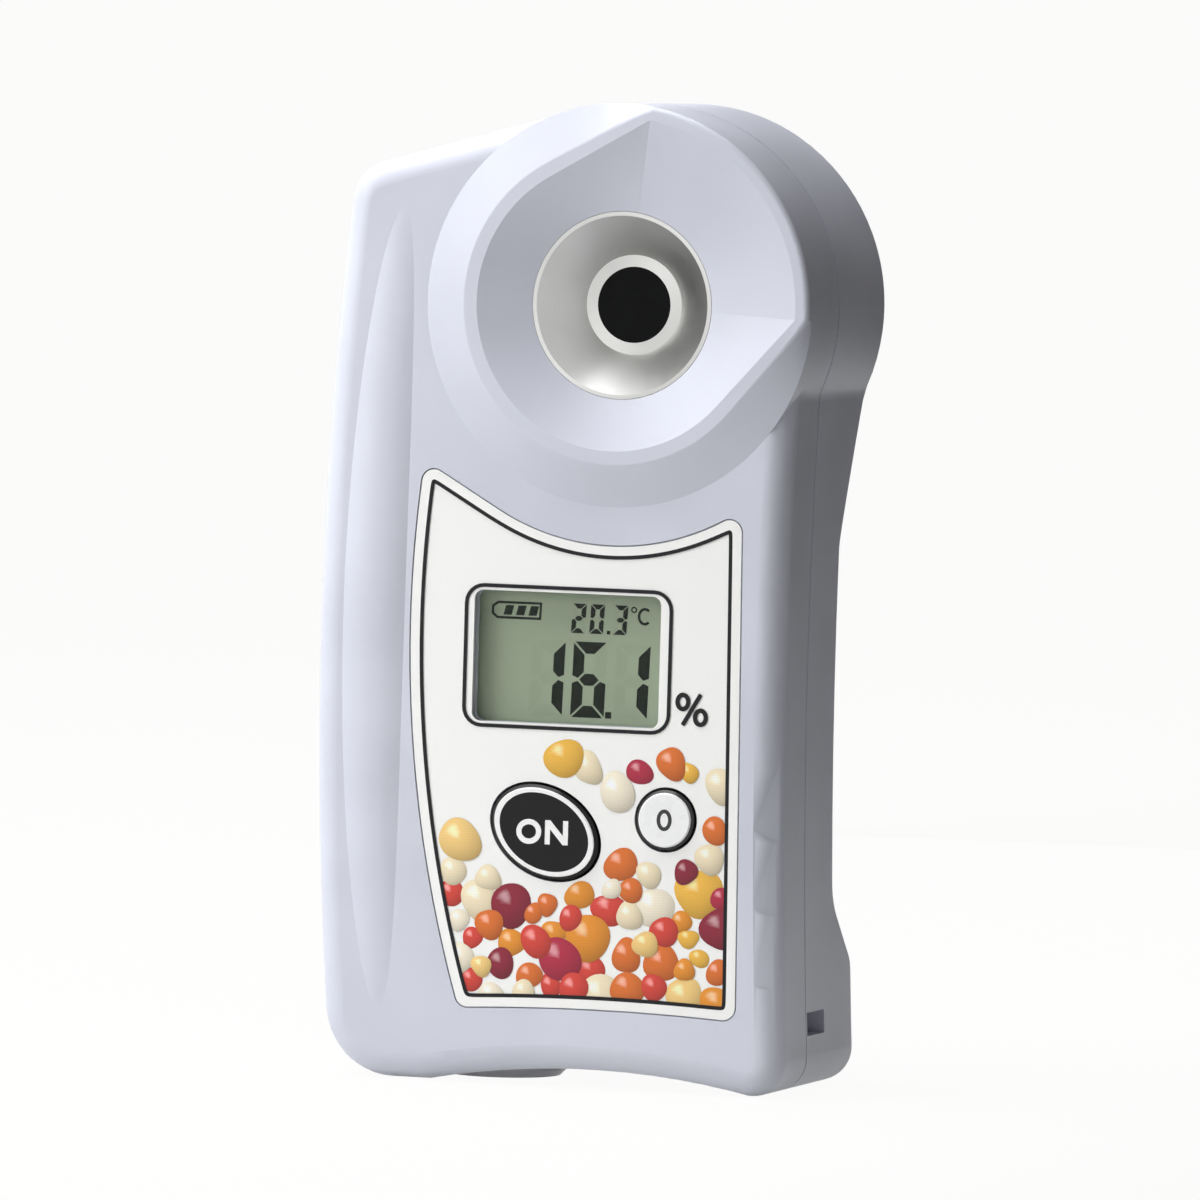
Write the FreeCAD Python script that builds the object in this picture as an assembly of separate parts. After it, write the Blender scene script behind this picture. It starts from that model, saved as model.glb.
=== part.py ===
import FreeCAD, Part
import math
import os

# Pocket refractometer that stands on its foot. Millimetres, +Z up, +X to the right,
# the label faces -Y. The origin is the middle of the footprint, on the surface below.

V = FreeCAD.Vector

# Overall sizes
depth = 31.0
rim_rise = 1.5
split_depth = 10.0
waist_depth = 22.8
wall = 2.0
edge_round = 2.8
back_round = 2.6

# Head that carries the sample stage, set below the top of the cells
head_x = 6.1
head_r = 22.2
head_drop = 9.9

# Outline of the case, seen from the front
shoulder_slope = 15.8
shoulder_x = -25.5
left_bulge_x = -28.3
left_bulge_z = 46.0
foot_left_x = -25.8
foot_right_x = 27.2
waist_x = 25.8
waist_z = 50.0
head_join_angle = -24.5
arch_left_x = -14.2
arch_right_x = 22.8
arch_rise = 1.9
shoulder_round = 5.0
left_foot_round = 8.0
right_foot_round = 3.8
head_join_round = 4.0

# Soft ridge along the left flank of the front face
ridge_rise = 0.7
ridge_r = 9.5
ridge_inset = 6.8
ridge_top_rise = 9.7
ridge_low_z = 8.0
ridge_run_out = 4.0

# Profile of the back, heights above the surface
foot_top = 14.0
waist_low = 21.0
waist_high = 60.0
head_foot_drop = 9.3
profile_round = 4.0

# Leaf shaped dish round the stage
dish_small_r = 16.0
rim_band = 1.5
dish_axis = 39.0
dish_half_angle = 41.5
dish_depth = 2.5
rim_round = 0.6
dish_wall = 2.2

# Sample stage and prism
stage_r = 10.3
stage_neck_r = 8.6
funnel_depth = 4.4
funnel_low_r = 5.5
prism_r = 4.2
stage_stub_wall = 1.1
stage_rim = 0.45
stage_floor = 2.2
seat_gap = 0.05
stage_seal_thickness = 0.6
socket_wall = 3.0
nut_height = 1.5
nut_r = 10.2
prism_seal_thickness = 0.3
prism_seal_w = 0.6

# Label film
film_thickness = 0.35
film_recess = 0.45
film_gap = 0.15
label_gap = 4.3
label_left_x = -15.9
label_right_x = 20.9
label_bulge_x = -16.6
label_bulge_z = 40.0
label_foot_left_x = -10.3
label_foot_right_x = 21.7
label_foot_z = 8.3
label_arch = 0.5
label_tangent_angle = -120.0
label_round = 1.4

# Display
display_x = 1.1
display_z = 47.25
display_w = 21.6
display_h = 14.5
display_round = 1.0
window_lap = 1.2
window_thickness = 0.8
window_gap = 0.1
lcd_lap = 2.2
lcd_thickness = 1.1
gasket_thickness = 0.3
reflector_thickness = 0.2
zebra_w = 1.6
frame_wall = 1.0

# Keys
key_travel = 0.5
key_gap = 0.3
key_proud = 0.55
key_flange = 1.1
key_flange_thickness = 0.7
start_x = -0.75
start_z = 28.1
start_a = 6.5
start_b = 4.8
start_tilt = -27.0
zero_x = 13.1
zero_z = 30.05
zero_r = 3.3
key_edge = 0.45
plunger_r = 1.5
switch_w = 6.0
switch_height = 1.5

# Main board
board_thickness = 1.0
board_gap = 2.0
board_left_x = -19.4
board_right_x = 21.6
board_low_z = 18.0
board_high_z = 60.0
board_post_r = 2.2
board_screw_inset = 2.6
small_screw_r = 0.8
small_head_r = 1.7
small_head_height = 1.1
small_screw_length = 3.6
chip_height = 1.1
chip_places = ((8.0, 42.0, 9.0, 9.0), (13.0, 28.5, 6.0, 4.5), (3.5, 28.5, 5.0, 4.0))
capacitor_count = 3
capacitor_x = 1.6
capacitor_pitch = 5.2
capacitor_r = 1.9
capacitor_height = 4.2

# Battery tube with two cells end to end
tube_x = -9.3
tube_board_gap = 0.2
cell_r = 5.25
cell_length = 44.5
nub_r = 1.9
nub_height = 0.9
cell_gap = 0.3
tube_wall = 0.75
cell_low_z = 7.2
contact_thickness = 0.4
tube_end = 1.4
rib_width = 2.0
rib_heights = (22.0, 48.0, 90.0)
rib_half_w = 4.4

# Battery cap
cap_face_z = 0.1
cap_r = 7.3
cap_head = 1.8
cap_gap = 0.25
cap_plug_r = 6.0
cap_plug_top = 5.6
cap_wall = 1.3
cap_slot_w = 1.6
cap_slot_depth = 0.9
cap_seal_height = 0.35
collar_wall = 1.3
collar_top = 7.6
collar_clear = 0.1

# Case screws, from the back
screw_low_z = 10.8
screw_low_left_x = -20.0
screw_low_right_x = 16.0
screw_high_left_x = -19.6
screw_high_left_rise = 5.7
screw_high_right_x = 20.3
screw_high_right_rise = -6.3
screw_r = 1.1
screw_head_r = 2.1
screw_head_height = 1.5
screw_well_r = 2.5
screw_well = 8.0
screw_boss_r = 3.5
front_boss_r = 2.8
screw_grip = 3.0
recess_reach = 0.62
recess_half = 0.16
recess_depth = 0.55

# Seal and shadow line between the two shells
seal_inset = 0.7
seal_w = 0.7
seal_depth = 0.8
shadow_w = 0.25
shadow_depth = 0.3

# Strap passage in the lower right corner of the rear shell
strap_z = 6.2
strap_h = 2.6
strap_w = 6.4
strap_gap = 0.6
strap_bar = 4.6
strap_wall = 1.6

# Optics behind the stage, along a light path parallel to Z
path_depth = 3.0
block_w = 15.0
block_depth = 8.4
block_above = 12.1
block_below = 18.1
ear_w = 7.0
ear_length = 6.0
ear_thickness = 1.2
ear_screw_gap = 3.4
block_post_r = 2.6
prism_block_half = 6.0
prism_block_w = 8.0
prism_shoulder = 4.0
prism_tip_half = 1.6
prism_gap = 0.25
tunnel_r = 2.6
lens_r = 2.5
lens_rim = 0.8
lens_bulge = 0.6
lens_below = 9.0
lens_ring_h = 0.9
lens_ring_wall = 0.6
sensor_w = 3.4
sensor_thickness = 1.2
plate_thickness = 1.0
led_r = 1.5
led_length = 3.6
bead_r = 1.0
bead_length = 1.6
flex_thickness = 0.2
flex_w = 3.5
flex_inset = 2.2
flex_foot = 2.6

# Heights that follow the two cells
cells_top_z = cell_low_z + 2 * cell_length
head_z = cells_top_z - head_drop
head_low = head_z - head_foot_drop
ridge_top_z = head_z + ridge_top_rise
screw_places = (
    (screw_low_left_x, screw_low_z),
    (screw_low_right_x, screw_low_z),
    (screw_high_left_x, head_z + screw_high_left_rise),
    (screw_high_right_x, head_z + screw_high_right_rise),
)

# Levels worked out from the sizes above
front_y = -depth / 2
face_y = front_y + rim_rise
back_y = depth / 2
split_y = face_y + split_depth
waist_y = face_y + waist_depth
ceiling_y = face_y + wall
ridge_axis_y = face_y + ridge_r
dish_floor_y = front_y + dish_depth
head_ceiling_y = dish_floor_y + dish_wall
prism_face_y = dish_floor_y + funnel_depth
stage_base_y = prism_face_y + stage_floor
film_floor_y = face_y + film_recess
lcd_y = ceiling_y + gasket_thickness
lcd_back_y = lcd_y + lcd_thickness + reflector_thickness
key_face_y = film_floor_y - film_thickness - key_proud
flange_y = ceiling_y + key_gap
flange_back_y = flange_y + key_flange_thickness
board_y = lcd_back_y + board_gap
plunger_tip_y = board_y - key_travel - key_gap
board_back_y = board_y + board_thickness
tube_in_r = cell_r + cell_gap
tube_r = tube_in_r + tube_wall
tube_y = board_back_y + tube_board_gap + tube_r
block_y = stage_base_y + prism_shoulder
block_back_y = block_y + block_depth
path_y = block_y + path_depth
prism_tip_y = stage_base_y + prism_seal_thickness + prism_shoulder + prism_block_half - prism_tip_half
block_high_z = head_z + block_above
block_low_z = head_z - block_below
flex_x = head_x + block_w / 2 - flex_inset
ear_places = ((head_x, block_high_z + ear_screw_gap), (head_x, block_low_z - ear_screw_gap))
screw_seat_y = back_y - screw_well
screw_tip_y = split_y - screw_grip
shelf_z = cap_face_z + cap_head + cap_seal_height
collar_r = cap_r + cap_gap + collar_wall
tube_low_z = collar_top - collar_wall
tube_top_z = cells_top_z + contact_thickness + cell_gap + tube_end


def slab(wire, y_back, y_front):
    """Extrudes an outline drawn as (X, Z, 0) between two depths."""
    solid = Part.Face(wire).extrude(V(0, 0, y_back - y_front))
    turn = FreeCAD.Rotation(V(1, 0, 0), 90)
    solid.Placement = FreeCAD.Placement(V(0, y_back, 0), turn)
    return solid


def box(x0, x1, y0, y1, z0, z1):
    return Part.makeBox(x1 - x0, y1 - y0, z1 - z0, V(x0, y0, z0))


def rod_y(x, z, r, y0, y1):
    return Part.makeCylinder(r, y1 - y0, V(x, y0, z), V(0, 1, 0))


def rod_z(x, y, r, z0, z1):
    return Part.makeCylinder(r, z1 - z0, V(x, y, z0))


def turned_y(x, z, profile):
    """Turns a closed (radius, Y) profile about an axis along Y."""
    points = [V(r, y, 0) for r, y in profile]
    face = Part.Face(Part.makePolygon(points + points[:1]))
    solid = face.revolve(V(0, 0, 0), V(0, 1, 0), 360)
    solid.translate(V(x, 0, z))
    return solid


def turned_z(x, y, profile):
    """Turns a closed (radius, Z) profile about an axis along Z."""
    points = [V(r, 0, z) for r, z in profile]
    face = Part.Face(Part.makePolygon(points + points[:1]))
    solid = face.revolve(V(0, 0, 0), V(0, 0, 1), 360)
    solid.translate(V(x, y, 0))
    return solid


def polar(x, z, r, angle):
    a = math.radians(angle)
    return V(x + r * math.cos(a), z + r * math.sin(a), 0)


def arc(start, middle, end):
    return Part.Arc(start, middle, end).toShape()


def line(start, end):
    return Part.makeLine(start, end)


def rounded(edges, corners):
    """Joins flat edges into an outline and rounds it: pairs of a corner and its radius."""
    chain = list(edges)
    for corner, radius in corners:
        first, second = [i for i, e in enumerate(chain) if touches(e, corner)]
        fillet = Part.ChFi2d.FilletAlgo(chain[first], chain[second], Part.Plane())
        fillet.perform(radius)
        bend, chain[first], chain[second] = fillet.result(corner)
        chain.append(bend)
    return Part.Wire(Part.sortEdges(chain)[0])


def touches(edge, corner):
    return any(v.Point.distanceToPoint(corner) < 1e-6 for v in edge.Vertexes)


def rounded_rect(x, z, w, h, r):
    low = V(x - w / 2, z - h / 2, 0)
    corners = [low, low + V(w, 0, 0), low + V(w, h, 0), low + V(0, h, 0)]
    sides = [line(p, q) for p, q in zip(corners, corners[1:] + corners[:1])]
    return rounded(sides, [(c, r) for c in corners])


def ellipse(x, z, a, b, tilt):
    curve = Part.Ellipse(V(0, 0, 0), a, b) if a > b else Part.Circle(V(0, 0, 0), V(0, 0, 1), a)
    wire = Part.Wire(curve.toShape())
    wire.rotate(V(0, 0, 0), V(0, 0, 1), tilt)
    wire.translate(V(x, z, 0))
    return wire


def fuse(shapes):
    solid = shapes[0]
    for shape in shapes[1:]:
        solid = solid.fuse(shape)
    return solid.removeSplitter()


# Outlines
def shoulder_point(x):
    """A point of the sloping shoulder line, which is tangent to the head."""
    touch = polar(head_x, head_z, head_r, 90 + shoulder_slope)
    return V(x, touch.y + (x - touch.x) * math.tan(math.radians(shoulder_slope)), 0)


def case_outline():
    touch = polar(head_x, head_z, head_r, 90 + shoulder_slope)
    crown = polar(head_x, head_z, head_r, 45)
    join = polar(head_x, head_z, head_r, head_join_angle)
    shoulder = shoulder_point(shoulder_x)
    foot_left = V(foot_left_x, 0, 0)
    foot_right = V(foot_right_x, 0, 0)
    arch_left = V(arch_left_x, 0, 0)
    arch_right = V(arch_right_x, 0, 0)
    arch_top = V((arch_left_x + arch_right_x) / 2, arch_rise, 0)
    edges = [
        left_arc(),
        line(foot_left, arch_left),
        arc(arch_left, arch_top, arch_right),
        line(arch_right, foot_right),
        arc(foot_right, V(waist_x, waist_z, 0), join),
        arc(join, crown, touch),
        line(touch, shoulder),
    ]
    corners = [
        (shoulder, shoulder_round),
        (foot_left, left_foot_round),
        (foot_right, right_foot_round),
        (join, head_join_round),
    ]
    return rounded(edges, corners)


def leaf(small_r, big_r):
    """A round end of small_r whose tangents run to the ends of an arc of big_r."""
    touch_angle = dish_half_angle + math.degrees(math.acos(small_r / big_r))
    return four_arcs(small_r, big_r, touch_angle, True)


def split_circle(r, small_r, big_r):
    """A circle with its joints at the same angles as those of leaf(small_r, big_r)."""
    touch_angle = dish_half_angle + math.degrees(math.acos(small_r / big_r))
    return four_arcs(r, r, touch_angle, False)


def four_arcs(small_r, big_r, touch_angle, straight):
    def at(r, angle):
        return polar(head_x, head_z, r, dish_axis + angle)

    low, high = at(small_r, -touch_angle), at(small_r, touch_angle)
    right, top = at(big_r, -dish_half_angle), at(big_r, dish_half_angle)
    between = (touch_angle + dish_half_angle) / 2
    if straight:
        sides = [line(low, right), line(top, high)]
    else:
        sides = [arc(low, at(big_r, -between), right), arc(top, at(big_r, between), high)]
    bow = arc(right, at(big_r, 0), top)
    stern = arc(high, at(small_r, 180), low)
    return Part.Wire([sides[0], bow, sides[1], stern])


def loft_y(wire_back, y_back, wire_front, y_front):
    turn = FreeCAD.Rotation(V(1, 0, 0), 90)
    placed = []
    for wire, y in ((wire_back, y_back), (wire_front, y_front)):
        copy = wire.copy()
        copy.Placement = FreeCAD.Placement(V(0, y, 0), turn)
        placed.append(copy)
    return Part.makeLoft(placed, True, True)


def label_outline():
    r = head_r + label_gap
    right_angle = -math.degrees(math.acos((label_right_x - head_x) / r))
    top_right = polar(head_x, head_z, r, right_angle)
    low_point = polar(head_x, head_z, r, -90)
    tangent = polar(head_x, head_z, r, label_tangent_angle)
    rise = math.tan(math.radians(label_tangent_angle + 90))
    top_left = V(label_left_x, tangent.y + (label_left_x - tangent.x) * rise, 0)
    foot_left = V(label_foot_left_x, label_foot_z, 0)
    foot_right = V(label_foot_right_x, label_foot_z, 0)
    foot_middle = V((label_foot_left_x + label_foot_right_x) / 2, label_foot_z + label_arch, 0)
    edges = [
        arc(top_left, V(label_bulge_x, label_bulge_z, 0), foot_left),
        arc(foot_left, foot_middle, foot_right),
        line(foot_right, top_right),
        arc(top_right, low_point, tangent),
        line(tangent, top_left),
    ]
    corners = [(p, label_round) for p in (top_left, foot_left, foot_right, top_right)]
    return rounded(edges, corners)


# Front shell
def case_block(y_back, y_front):
    return slab(case_outline(), y_back, y_front)


def front_edges(block, y_back):
    """Edges where the upright walls of a block meet its front face."""
    walls = [f for f in block.Faces if is_wall(f, y_back)]
    return [e for f in walls for e in f.Edges if e.BoundBox.YMax < y_back - wall]


def is_wall(face, y_back):
    box_of = face.BoundBox
    return abs(box_of.YMax - y_back) < 1e-6 and box_of.YLength > wall


def level_front():
    block = case_block(split_y, face_y)
    return block.makeFillet(edge_round, front_edges(block, split_y))


def left_arc():
    return arc(shoulder_point(shoulder_x), V(left_bulge_x, left_bulge_z, 0), V(foot_left_x, 0, 0))


def flank_ridge():
    """Soft ridge along the left wall that swells out of the face and sinks back at both ends."""
    wall_arc = left_arc().Curve
    centre = V(wall_arc.Center.x, ridge_axis_y, wall_arc.Center.y)
    path_r = wall_arc.Radius - ridge_inset

    def at(z):
        return V(centre.x - math.sqrt(path_r**2 - (z - centre.z) ** 2), ridge_axis_y, z)

    low, top = at(ridge_low_z), at(ridge_top_z)
    chord = top - low
    bulge = path_r - math.sqrt(path_r**2 - chord.Length**2 / 4)
    swing = math.degrees(math.asin(ridge_rise / bulge))
    start, end = at(ridge_low_z - ridge_run_out), at(ridge_top_z + ridge_run_out)
    along = V(0, 1, 0).cross(start - centre)
    disc = Part.Face(Part.Wire(Part.makeCircle(ridge_r, start, along)))
    sweep = math.degrees((start - centre).getAngle(end - centre))
    ridge = disc.revolve(centre, V(0, 1, 0), sweep)
    ridge.rotate(low, chord, swing)
    return ridge.common(box(-2 * head_r, 0, front_y, face_y, 0, 2 * head_z))


def boss():
    """The raised ring round the dish, as wide as the head at the upper right."""
    inner, outer = dish_small_r + rim_band, head_r
    base = split_circle(head_r, inner, outer)
    ring = loft_y(base, face_y, leaf(inner, outer), front_y)
    rim = [e for e in ring.Edges if e.BoundBox.YMax < front_y + rim_round]
    return slab(base, split_y, face_y).fuse(ring.makeFillet(rim_round, rim))


def dish_cutter():
    inner, outer = dish_small_r, head_r - rim_band
    return loft_y(split_circle(stage_r + seat_gap, inner, outer), dish_floor_y, leaf(inner, outer), front_y)


def board_screw_places():
    return [
        (x, z)
        for x in (board_left_x + board_screw_inset, board_right_x - board_screw_inset)
        for z in (board_low_z + board_screw_inset, board_high_z - board_screw_inset)
    ]


def posts(places, r, y0, y1):
    return [rod_y(x, z, r, y0, y1) for x, z in places]


def front_cavity():
    """The hollow behind the front wall, with a lower ceiling behind the dish."""
    inside = case_outline().makeOffset2D(-wall)
    hollow = slab(inside, split_y, ceiling_y)
    roof = rod_y(head_x, head_z, head_r - wall / 2, ceiling_y - wall, head_ceiling_y)
    socket = rod_y(head_x, head_z, stage_neck_r + socket_wall, ceiling_y, stage_base_y - seat_gap)
    return hollow.cut([roof, socket])


def front_posts():
    """Posts under the front wall for the board, the case screws and the optics."""
    solids = posts(board_screw_places(), board_post_r, ceiling_y - wall / 2, board_y)
    solids += posts(screw_places, front_boss_r, ceiling_y - wall / 2, split_y)
    solids += posts(ear_places, block_post_r, head_ceiling_y - dish_wall / 2, block_y)
    return solids


def pilot_holes():
    holes = posts(board_screw_places(), small_screw_r, board_back_y - small_screw_length, board_y)
    holes += posts(screw_places, screw_r, screw_tip_y, split_y)
    holes += posts(ear_places, small_screw_r, block_y + ear_thickness - small_screw_length, block_y)
    return holes


def stage_seat():
    """The bore that the stage drops into, with a shelf for its seal."""
    top = rod_y(head_x, head_z, stage_r + seat_gap, front_y, head_ceiling_y)
    neck = rod_y(head_x, head_z, stage_neck_r + seat_gap, front_y, split_y)
    return top.fuse(neck)


def window_outline(lap):
    return rounded_rect(display_x, display_z, display_w + 2 * lap, display_h + 2 * lap, display_round)


def window_seat():
    ledge = window_outline(window_lap).makeOffset2D(window_gap)
    step = slab(ledge, film_floor_y + window_thickness, front_y)
    return slab(window_outline(0), ceiling_y, front_y).fuse(step)


def key_holes(y_back, y_front):
    start = ellipse(start_x, start_z, start_a + key_gap, start_b + key_gap, start_tilt)
    return slab(start, y_back, y_front).fuse(rod_y(zero_x, zero_z, zero_r + key_gap, y_front, y_back))


def film_seat():
    return slab(label_outline().makeOffset2D(film_gap), film_floor_y, front_y)


def shadow_line():
    """A shallow groove round the case where the two shells meet."""
    outline = case_outline()
    band = slab(outline.makeOffset2D(wall), split_y + shadow_w, split_y)
    return band.cut(slab(outline.makeOffset2D(-shadow_depth), split_y + shadow_w, split_y))


def collar(clearance):
    """Ring of the rear shell round the battery cap, trimmed to the arched foot."""
    ring = rod_z(tube_x, tube_y, collar_r + clearance, -foot_top, collar_top + clearance)
    return ring.common(case_block(back_y, front_y))


def front_case():
    body = fuse([level_front(), flank_ridge(), boss()])
    body = body.cut([dish_cutter(), stage_seat(), front_cavity()])
    body = fuse([body] + front_posts())
    cuts = [film_seat(), window_seat(), key_holes(ceiling_y, front_y), collar(collar_clear)]
    return body.cut(cuts + pilot_holes())


# Rear shell
def back_profile(inset):
    """Side view of the rear shell as a solid across the case."""
    top = head_z + head_r + depth
    points = [
        (split_y - depth, -depth),
        (back_y - inset, -depth),
        (back_y - inset, foot_top - inset / 2),
        (waist_y - inset, waist_low - inset / 2),
        (waist_y - inset, waist_high + inset / 2),
        (back_y - inset, head_low + inset / 2),
        (back_y - inset, top),
        (split_y - depth, top),
    ]
    corners = [V(-2 * head_r, y, z) for y, z in points]
    solid = Part.Face(Part.makePolygon(corners + corners[:1])).extrude(V(4 * head_r, 0, 0))
    folds = [e for e in solid.Edges if e.BoundBox.XLength > head_r and is_fold(e, inset)]
    return solid.makeFillet(profile_round, folds)


def is_fold(edge, inset):
    box_of = edge.BoundBox
    inner = foot_top - wall - inset < box_of.ZMin and box_of.ZMax < head_low + wall + inset
    return inner and box_of.YMin > split_y


def rear_outer():
    block = case_block(back_y, split_y).common(back_profile(0))
    rims = [e for e in block.Edges if e.BoundBox.YMin > split_y + wall and is_outer_rim(e)]
    return block.makeFillet(back_round, rims)


def is_outer_rim(edge):
    """True for edges along the outline of the case, false for folds across the back."""
    across = edge.BoundBox.XLength > head_r and edge.BoundBox.XMin < -head_r and edge.BoundBox.XMax > head_r
    straight = edge.BoundBox.ZLength < seat_gap
    return not (across and straight and edge.BoundBox.ZMin > foot_top / 2)


def rear_cavity():
    inside = case_outline().makeOffset2D(-wall)
    hollow = slab(inside, back_y, split_y).common(back_profile(wall))
    return hollow.common(box(-2 * head_r, 2 * head_r, split_y, back_y - wall, -depth, 2 * head_z))


def rear_posts():
    """Screw bosses, ribs under the battery tube and the block round the strap passage."""
    solids = posts(screw_places, screw_boss_r, split_y, back_y - wall / 2)
    for z in rib_heights:
        solids.append(box(tube_x - rib_half_w, tube_x + rib_half_w, tube_y, back_y, z, z + rib_width))
    x0 = foot_right_x - strap_bar - strap_h - strap_wall
    y1 = split_y + strap_gap + strap_w + strap_wall
    solids.append(box(x0, foot_right_x + wall, split_y, y1, 0, strap_z + strap_h + strap_wall))
    return solids


def strap_passage():
    """From the right wall round a bar to the foot."""
    y0 = split_y + strap_gap
    top_z = strap_z + strap_h
    x0 = foot_right_x - strap_bar - strap_h
    across = box(x0, foot_right_x + wall, y0, y0 + strap_w, strap_z, top_z)
    down = box(x0, x0 + strap_h, y0, y0 + strap_w, -wall, top_z)
    return across.fuse(down)


def screw_wells():
    wells = posts(screw_places, screw_well_r, screw_seat_y, back_y)
    return wells + posts(screw_places, screw_r + seat_gap, split_y, screw_seat_y)


def seal_ring(gap):
    outline = case_outline()
    outer = slab(outline.makeOffset2D(gap - seal_inset), split_y + seal_depth + gap, split_y)
    inner = slab(outline.makeOffset2D(-seal_inset - seal_w - gap), split_y + seal_depth + gap, split_y)
    return outer.cut([inner, rod_z(tube_x, tube_y, collar_r + collar_clear, -depth, foot_top)])


def cap_seat():
    """Counterbore for the cap's head, the bore for its plug and the socket of the tube."""
    head = rod_z(tube_x, tube_y, cap_r + cap_gap, -wall, shelf_z)
    plug = rod_z(tube_x, tube_y, cap_plug_r + cap_gap, -wall, collar_top)
    socket = rod_z(tube_x, tube_y, tube_r + seat_gap, tube_low_z, tube_top_z)
    return head.fuse([plug, socket])


def rear_case():
    body = rear_outer().cut(rear_cavity())
    inner = fuse(rear_posts() + [collar(0)]).common(case_block(back_y, front_y)).common(rear_limit())
    body = fuse([body, inner])
    cuts = [strap_passage(), seal_ring(seat_gap), cap_seat(), shadow_line()]
    return body.cut(cuts + screw_wells())


def rear_limit():
    """The space that the rear shell may fill: its outer form and the collar in front."""
    return rear_outer().fuse(collar(0))


def case_seal():
    return seal_ring(0)


def headed_screw(x, z, r, tip_y, seat_y, head_r, head_height):
    """Screw with a low head and a cross recess."""
    top_y = seat_y + head_height
    low_y = top_y - recess_depth * head_height
    arm, half = recess_reach * head_r, recess_half * head_r
    across = box(x - arm, x + arm, low_y, top_y, z - half, z + half)
    upright = box(x - half, x + half, low_y, top_y, z - arm, z + arm)
    screw = rod_y(x, z, r, tip_y, seat_y).fuse(rod_y(x, z, head_r, seat_y, top_y))
    return screw.cut([across, upright])


def case_screws():
    sizes = (screw_tip_y, screw_seat_y, screw_head_r, screw_head_height)
    return Part.makeCompound([headed_screw(x, z, screw_r, *sizes) for x, z in screw_places])


# Sample stage and optics
def sample_stage():
    seal_y = head_ceiling_y - stage_seal_thickness
    profile = [
        (prism_r, prism_face_y),
        (funnel_low_r, prism_face_y),
        (stage_r - stage_rim, dish_floor_y),
        (stage_r, dish_floor_y),
        (stage_r, seal_y),
        (stage_neck_r, seal_y),
        (stage_neck_r, stage_base_y + nut_height),
        (stage_neck_r - stage_stub_wall, stage_base_y + nut_height),
        (stage_neck_r - stage_stub_wall, stage_base_y),
        (prism_r, stage_base_y),
    ]
    return turned_y(head_x, head_z, profile)


def stage_seal():
    seal_y = head_ceiling_y - stage_seal_thickness
    ring = rod_y(head_x, head_z, stage_r, seal_y, head_ceiling_y)
    return ring.cut(rod_y(head_x, head_z, stage_neck_r + seat_gap, seal_y, head_ceiling_y))


def stage_nut():
    ring = rod_y(head_x, head_z, nut_r, stage_base_y, stage_base_y + nut_height)
    return ring.cut(rod_y(head_x, head_z, stage_neck_r, split_y - depth, split_y + depth))


def prism_outline():
    """The prism across the light path: entry and exit faces at 45 degrees."""
    half, tip = prism_block_half, prism_tip_half
    top_y = stage_base_y + prism_seal_thickness
    shoulder_y = top_y + prism_shoulder
    points = [(-half, top_y), (half, top_y), (half, shoulder_y), (tip, prism_tip_y)]
    points += [(-tip, prism_tip_y), (-half, shoulder_y)]
    corners = [V(0, y, head_z + u) for u, y in points]
    return Part.makePolygon(corners + corners[:1])


def prism():
    block = Part.Face(prism_outline()).extrude(V(prism_block_w, 0, 0))
    block.translate(V(head_x - prism_block_w / 2, 0, 0))
    seal_top = stage_base_y + prism_seal_thickness
    button = rod_y(head_x, head_z, prism_r - seat_gap, prism_face_y, seal_top)
    return fuse([block, button])


def prism_seal():
    seal_top = stage_base_y + prism_seal_thickness
    ring = rod_y(head_x, head_z, prism_r + prism_seal_w, stage_base_y, seal_top)
    return ring.cut(rod_y(head_x, head_z, prism_r, stage_base_y, seal_top))


def optics_block():
    """Holder with a well for the prism and a tunnel along the light path."""
    x0, x1 = head_x - block_w / 2, head_x + block_w / 2
    body = box(x0, x1, block_y, block_back_y, block_low_z, block_high_z)
    z0, z1 = block_low_z - ear_length, block_high_z + ear_length
    ears = box(head_x - ear_w / 2, head_x + ear_w / 2, block_y, block_y + ear_thickness, z0, z1)
    half_x, half_z = prism_block_w / 2 + prism_gap, prism_block_half + prism_gap
    well_y = prism_tip_y + prism_gap
    well = box(head_x - half_x, head_x + half_x, block_y, well_y, head_z - half_z, head_z + half_z)
    tunnel = rod_z(head_x, path_y, tunnel_r, block_low_z, block_high_z)
    holes = posts(ear_places, small_screw_r + seat_gap, block_y, block_back_y)
    return body.fuse(ears).removeSplitter().cut([well, tunnel] + holes)


def small_screw(x, z, seat_y):
    tip_y = seat_y - small_screw_length
    return headed_screw(x, z, small_screw_r, tip_y, seat_y, small_head_r, small_head_height)


def optics_screws():
    return Part.makeCompound([small_screw(x, z, block_y + ear_thickness) for x, z in ear_places])


def end_plate(z0):
    x0, x1 = head_x - block_w / 2 + plate_thickness, head_x + block_w / 2 - plate_thickness
    return box(x0, x1, block_y + ear_thickness + prism_gap, block_back_y, z0, z0 + plate_thickness)


def lamp_board():
    return end_plate(block_high_z)


def lamp_led():
    barrel = rod_z(head_x, path_y, led_r, block_high_z - led_length + led_r, block_high_z)
    dome = Part.makeSphere(led_r, V(head_x, path_y, block_high_z - led_length + led_r))
    return fuse([barrel, dome])


def focusing_lens():
    """A lens flat below and bulged above, on a cylindrical rim."""
    z0 = head_z - lens_below - lens_rim / 2
    sphere_r = (lens_r ** 2 + lens_bulge ** 2) / (2 * lens_bulge)
    top = z0 + lens_rim + lens_bulge
    ball = Part.makeSphere(sphere_r, V(head_x, path_y, top - sphere_r))
    return rod_z(head_x, path_y, lens_r, z0, top).common(ball)


def lens_ring():
    z1 = head_z - lens_below - lens_rim / 2
    r = tunnel_r - seat_gap
    ring = rod_z(head_x, path_y, r, z1 - lens_ring_h, z1)
    return ring.cut(rod_z(head_x, path_y, r - lens_ring_wall, z1 - lens_ring_h, z1))


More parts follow.
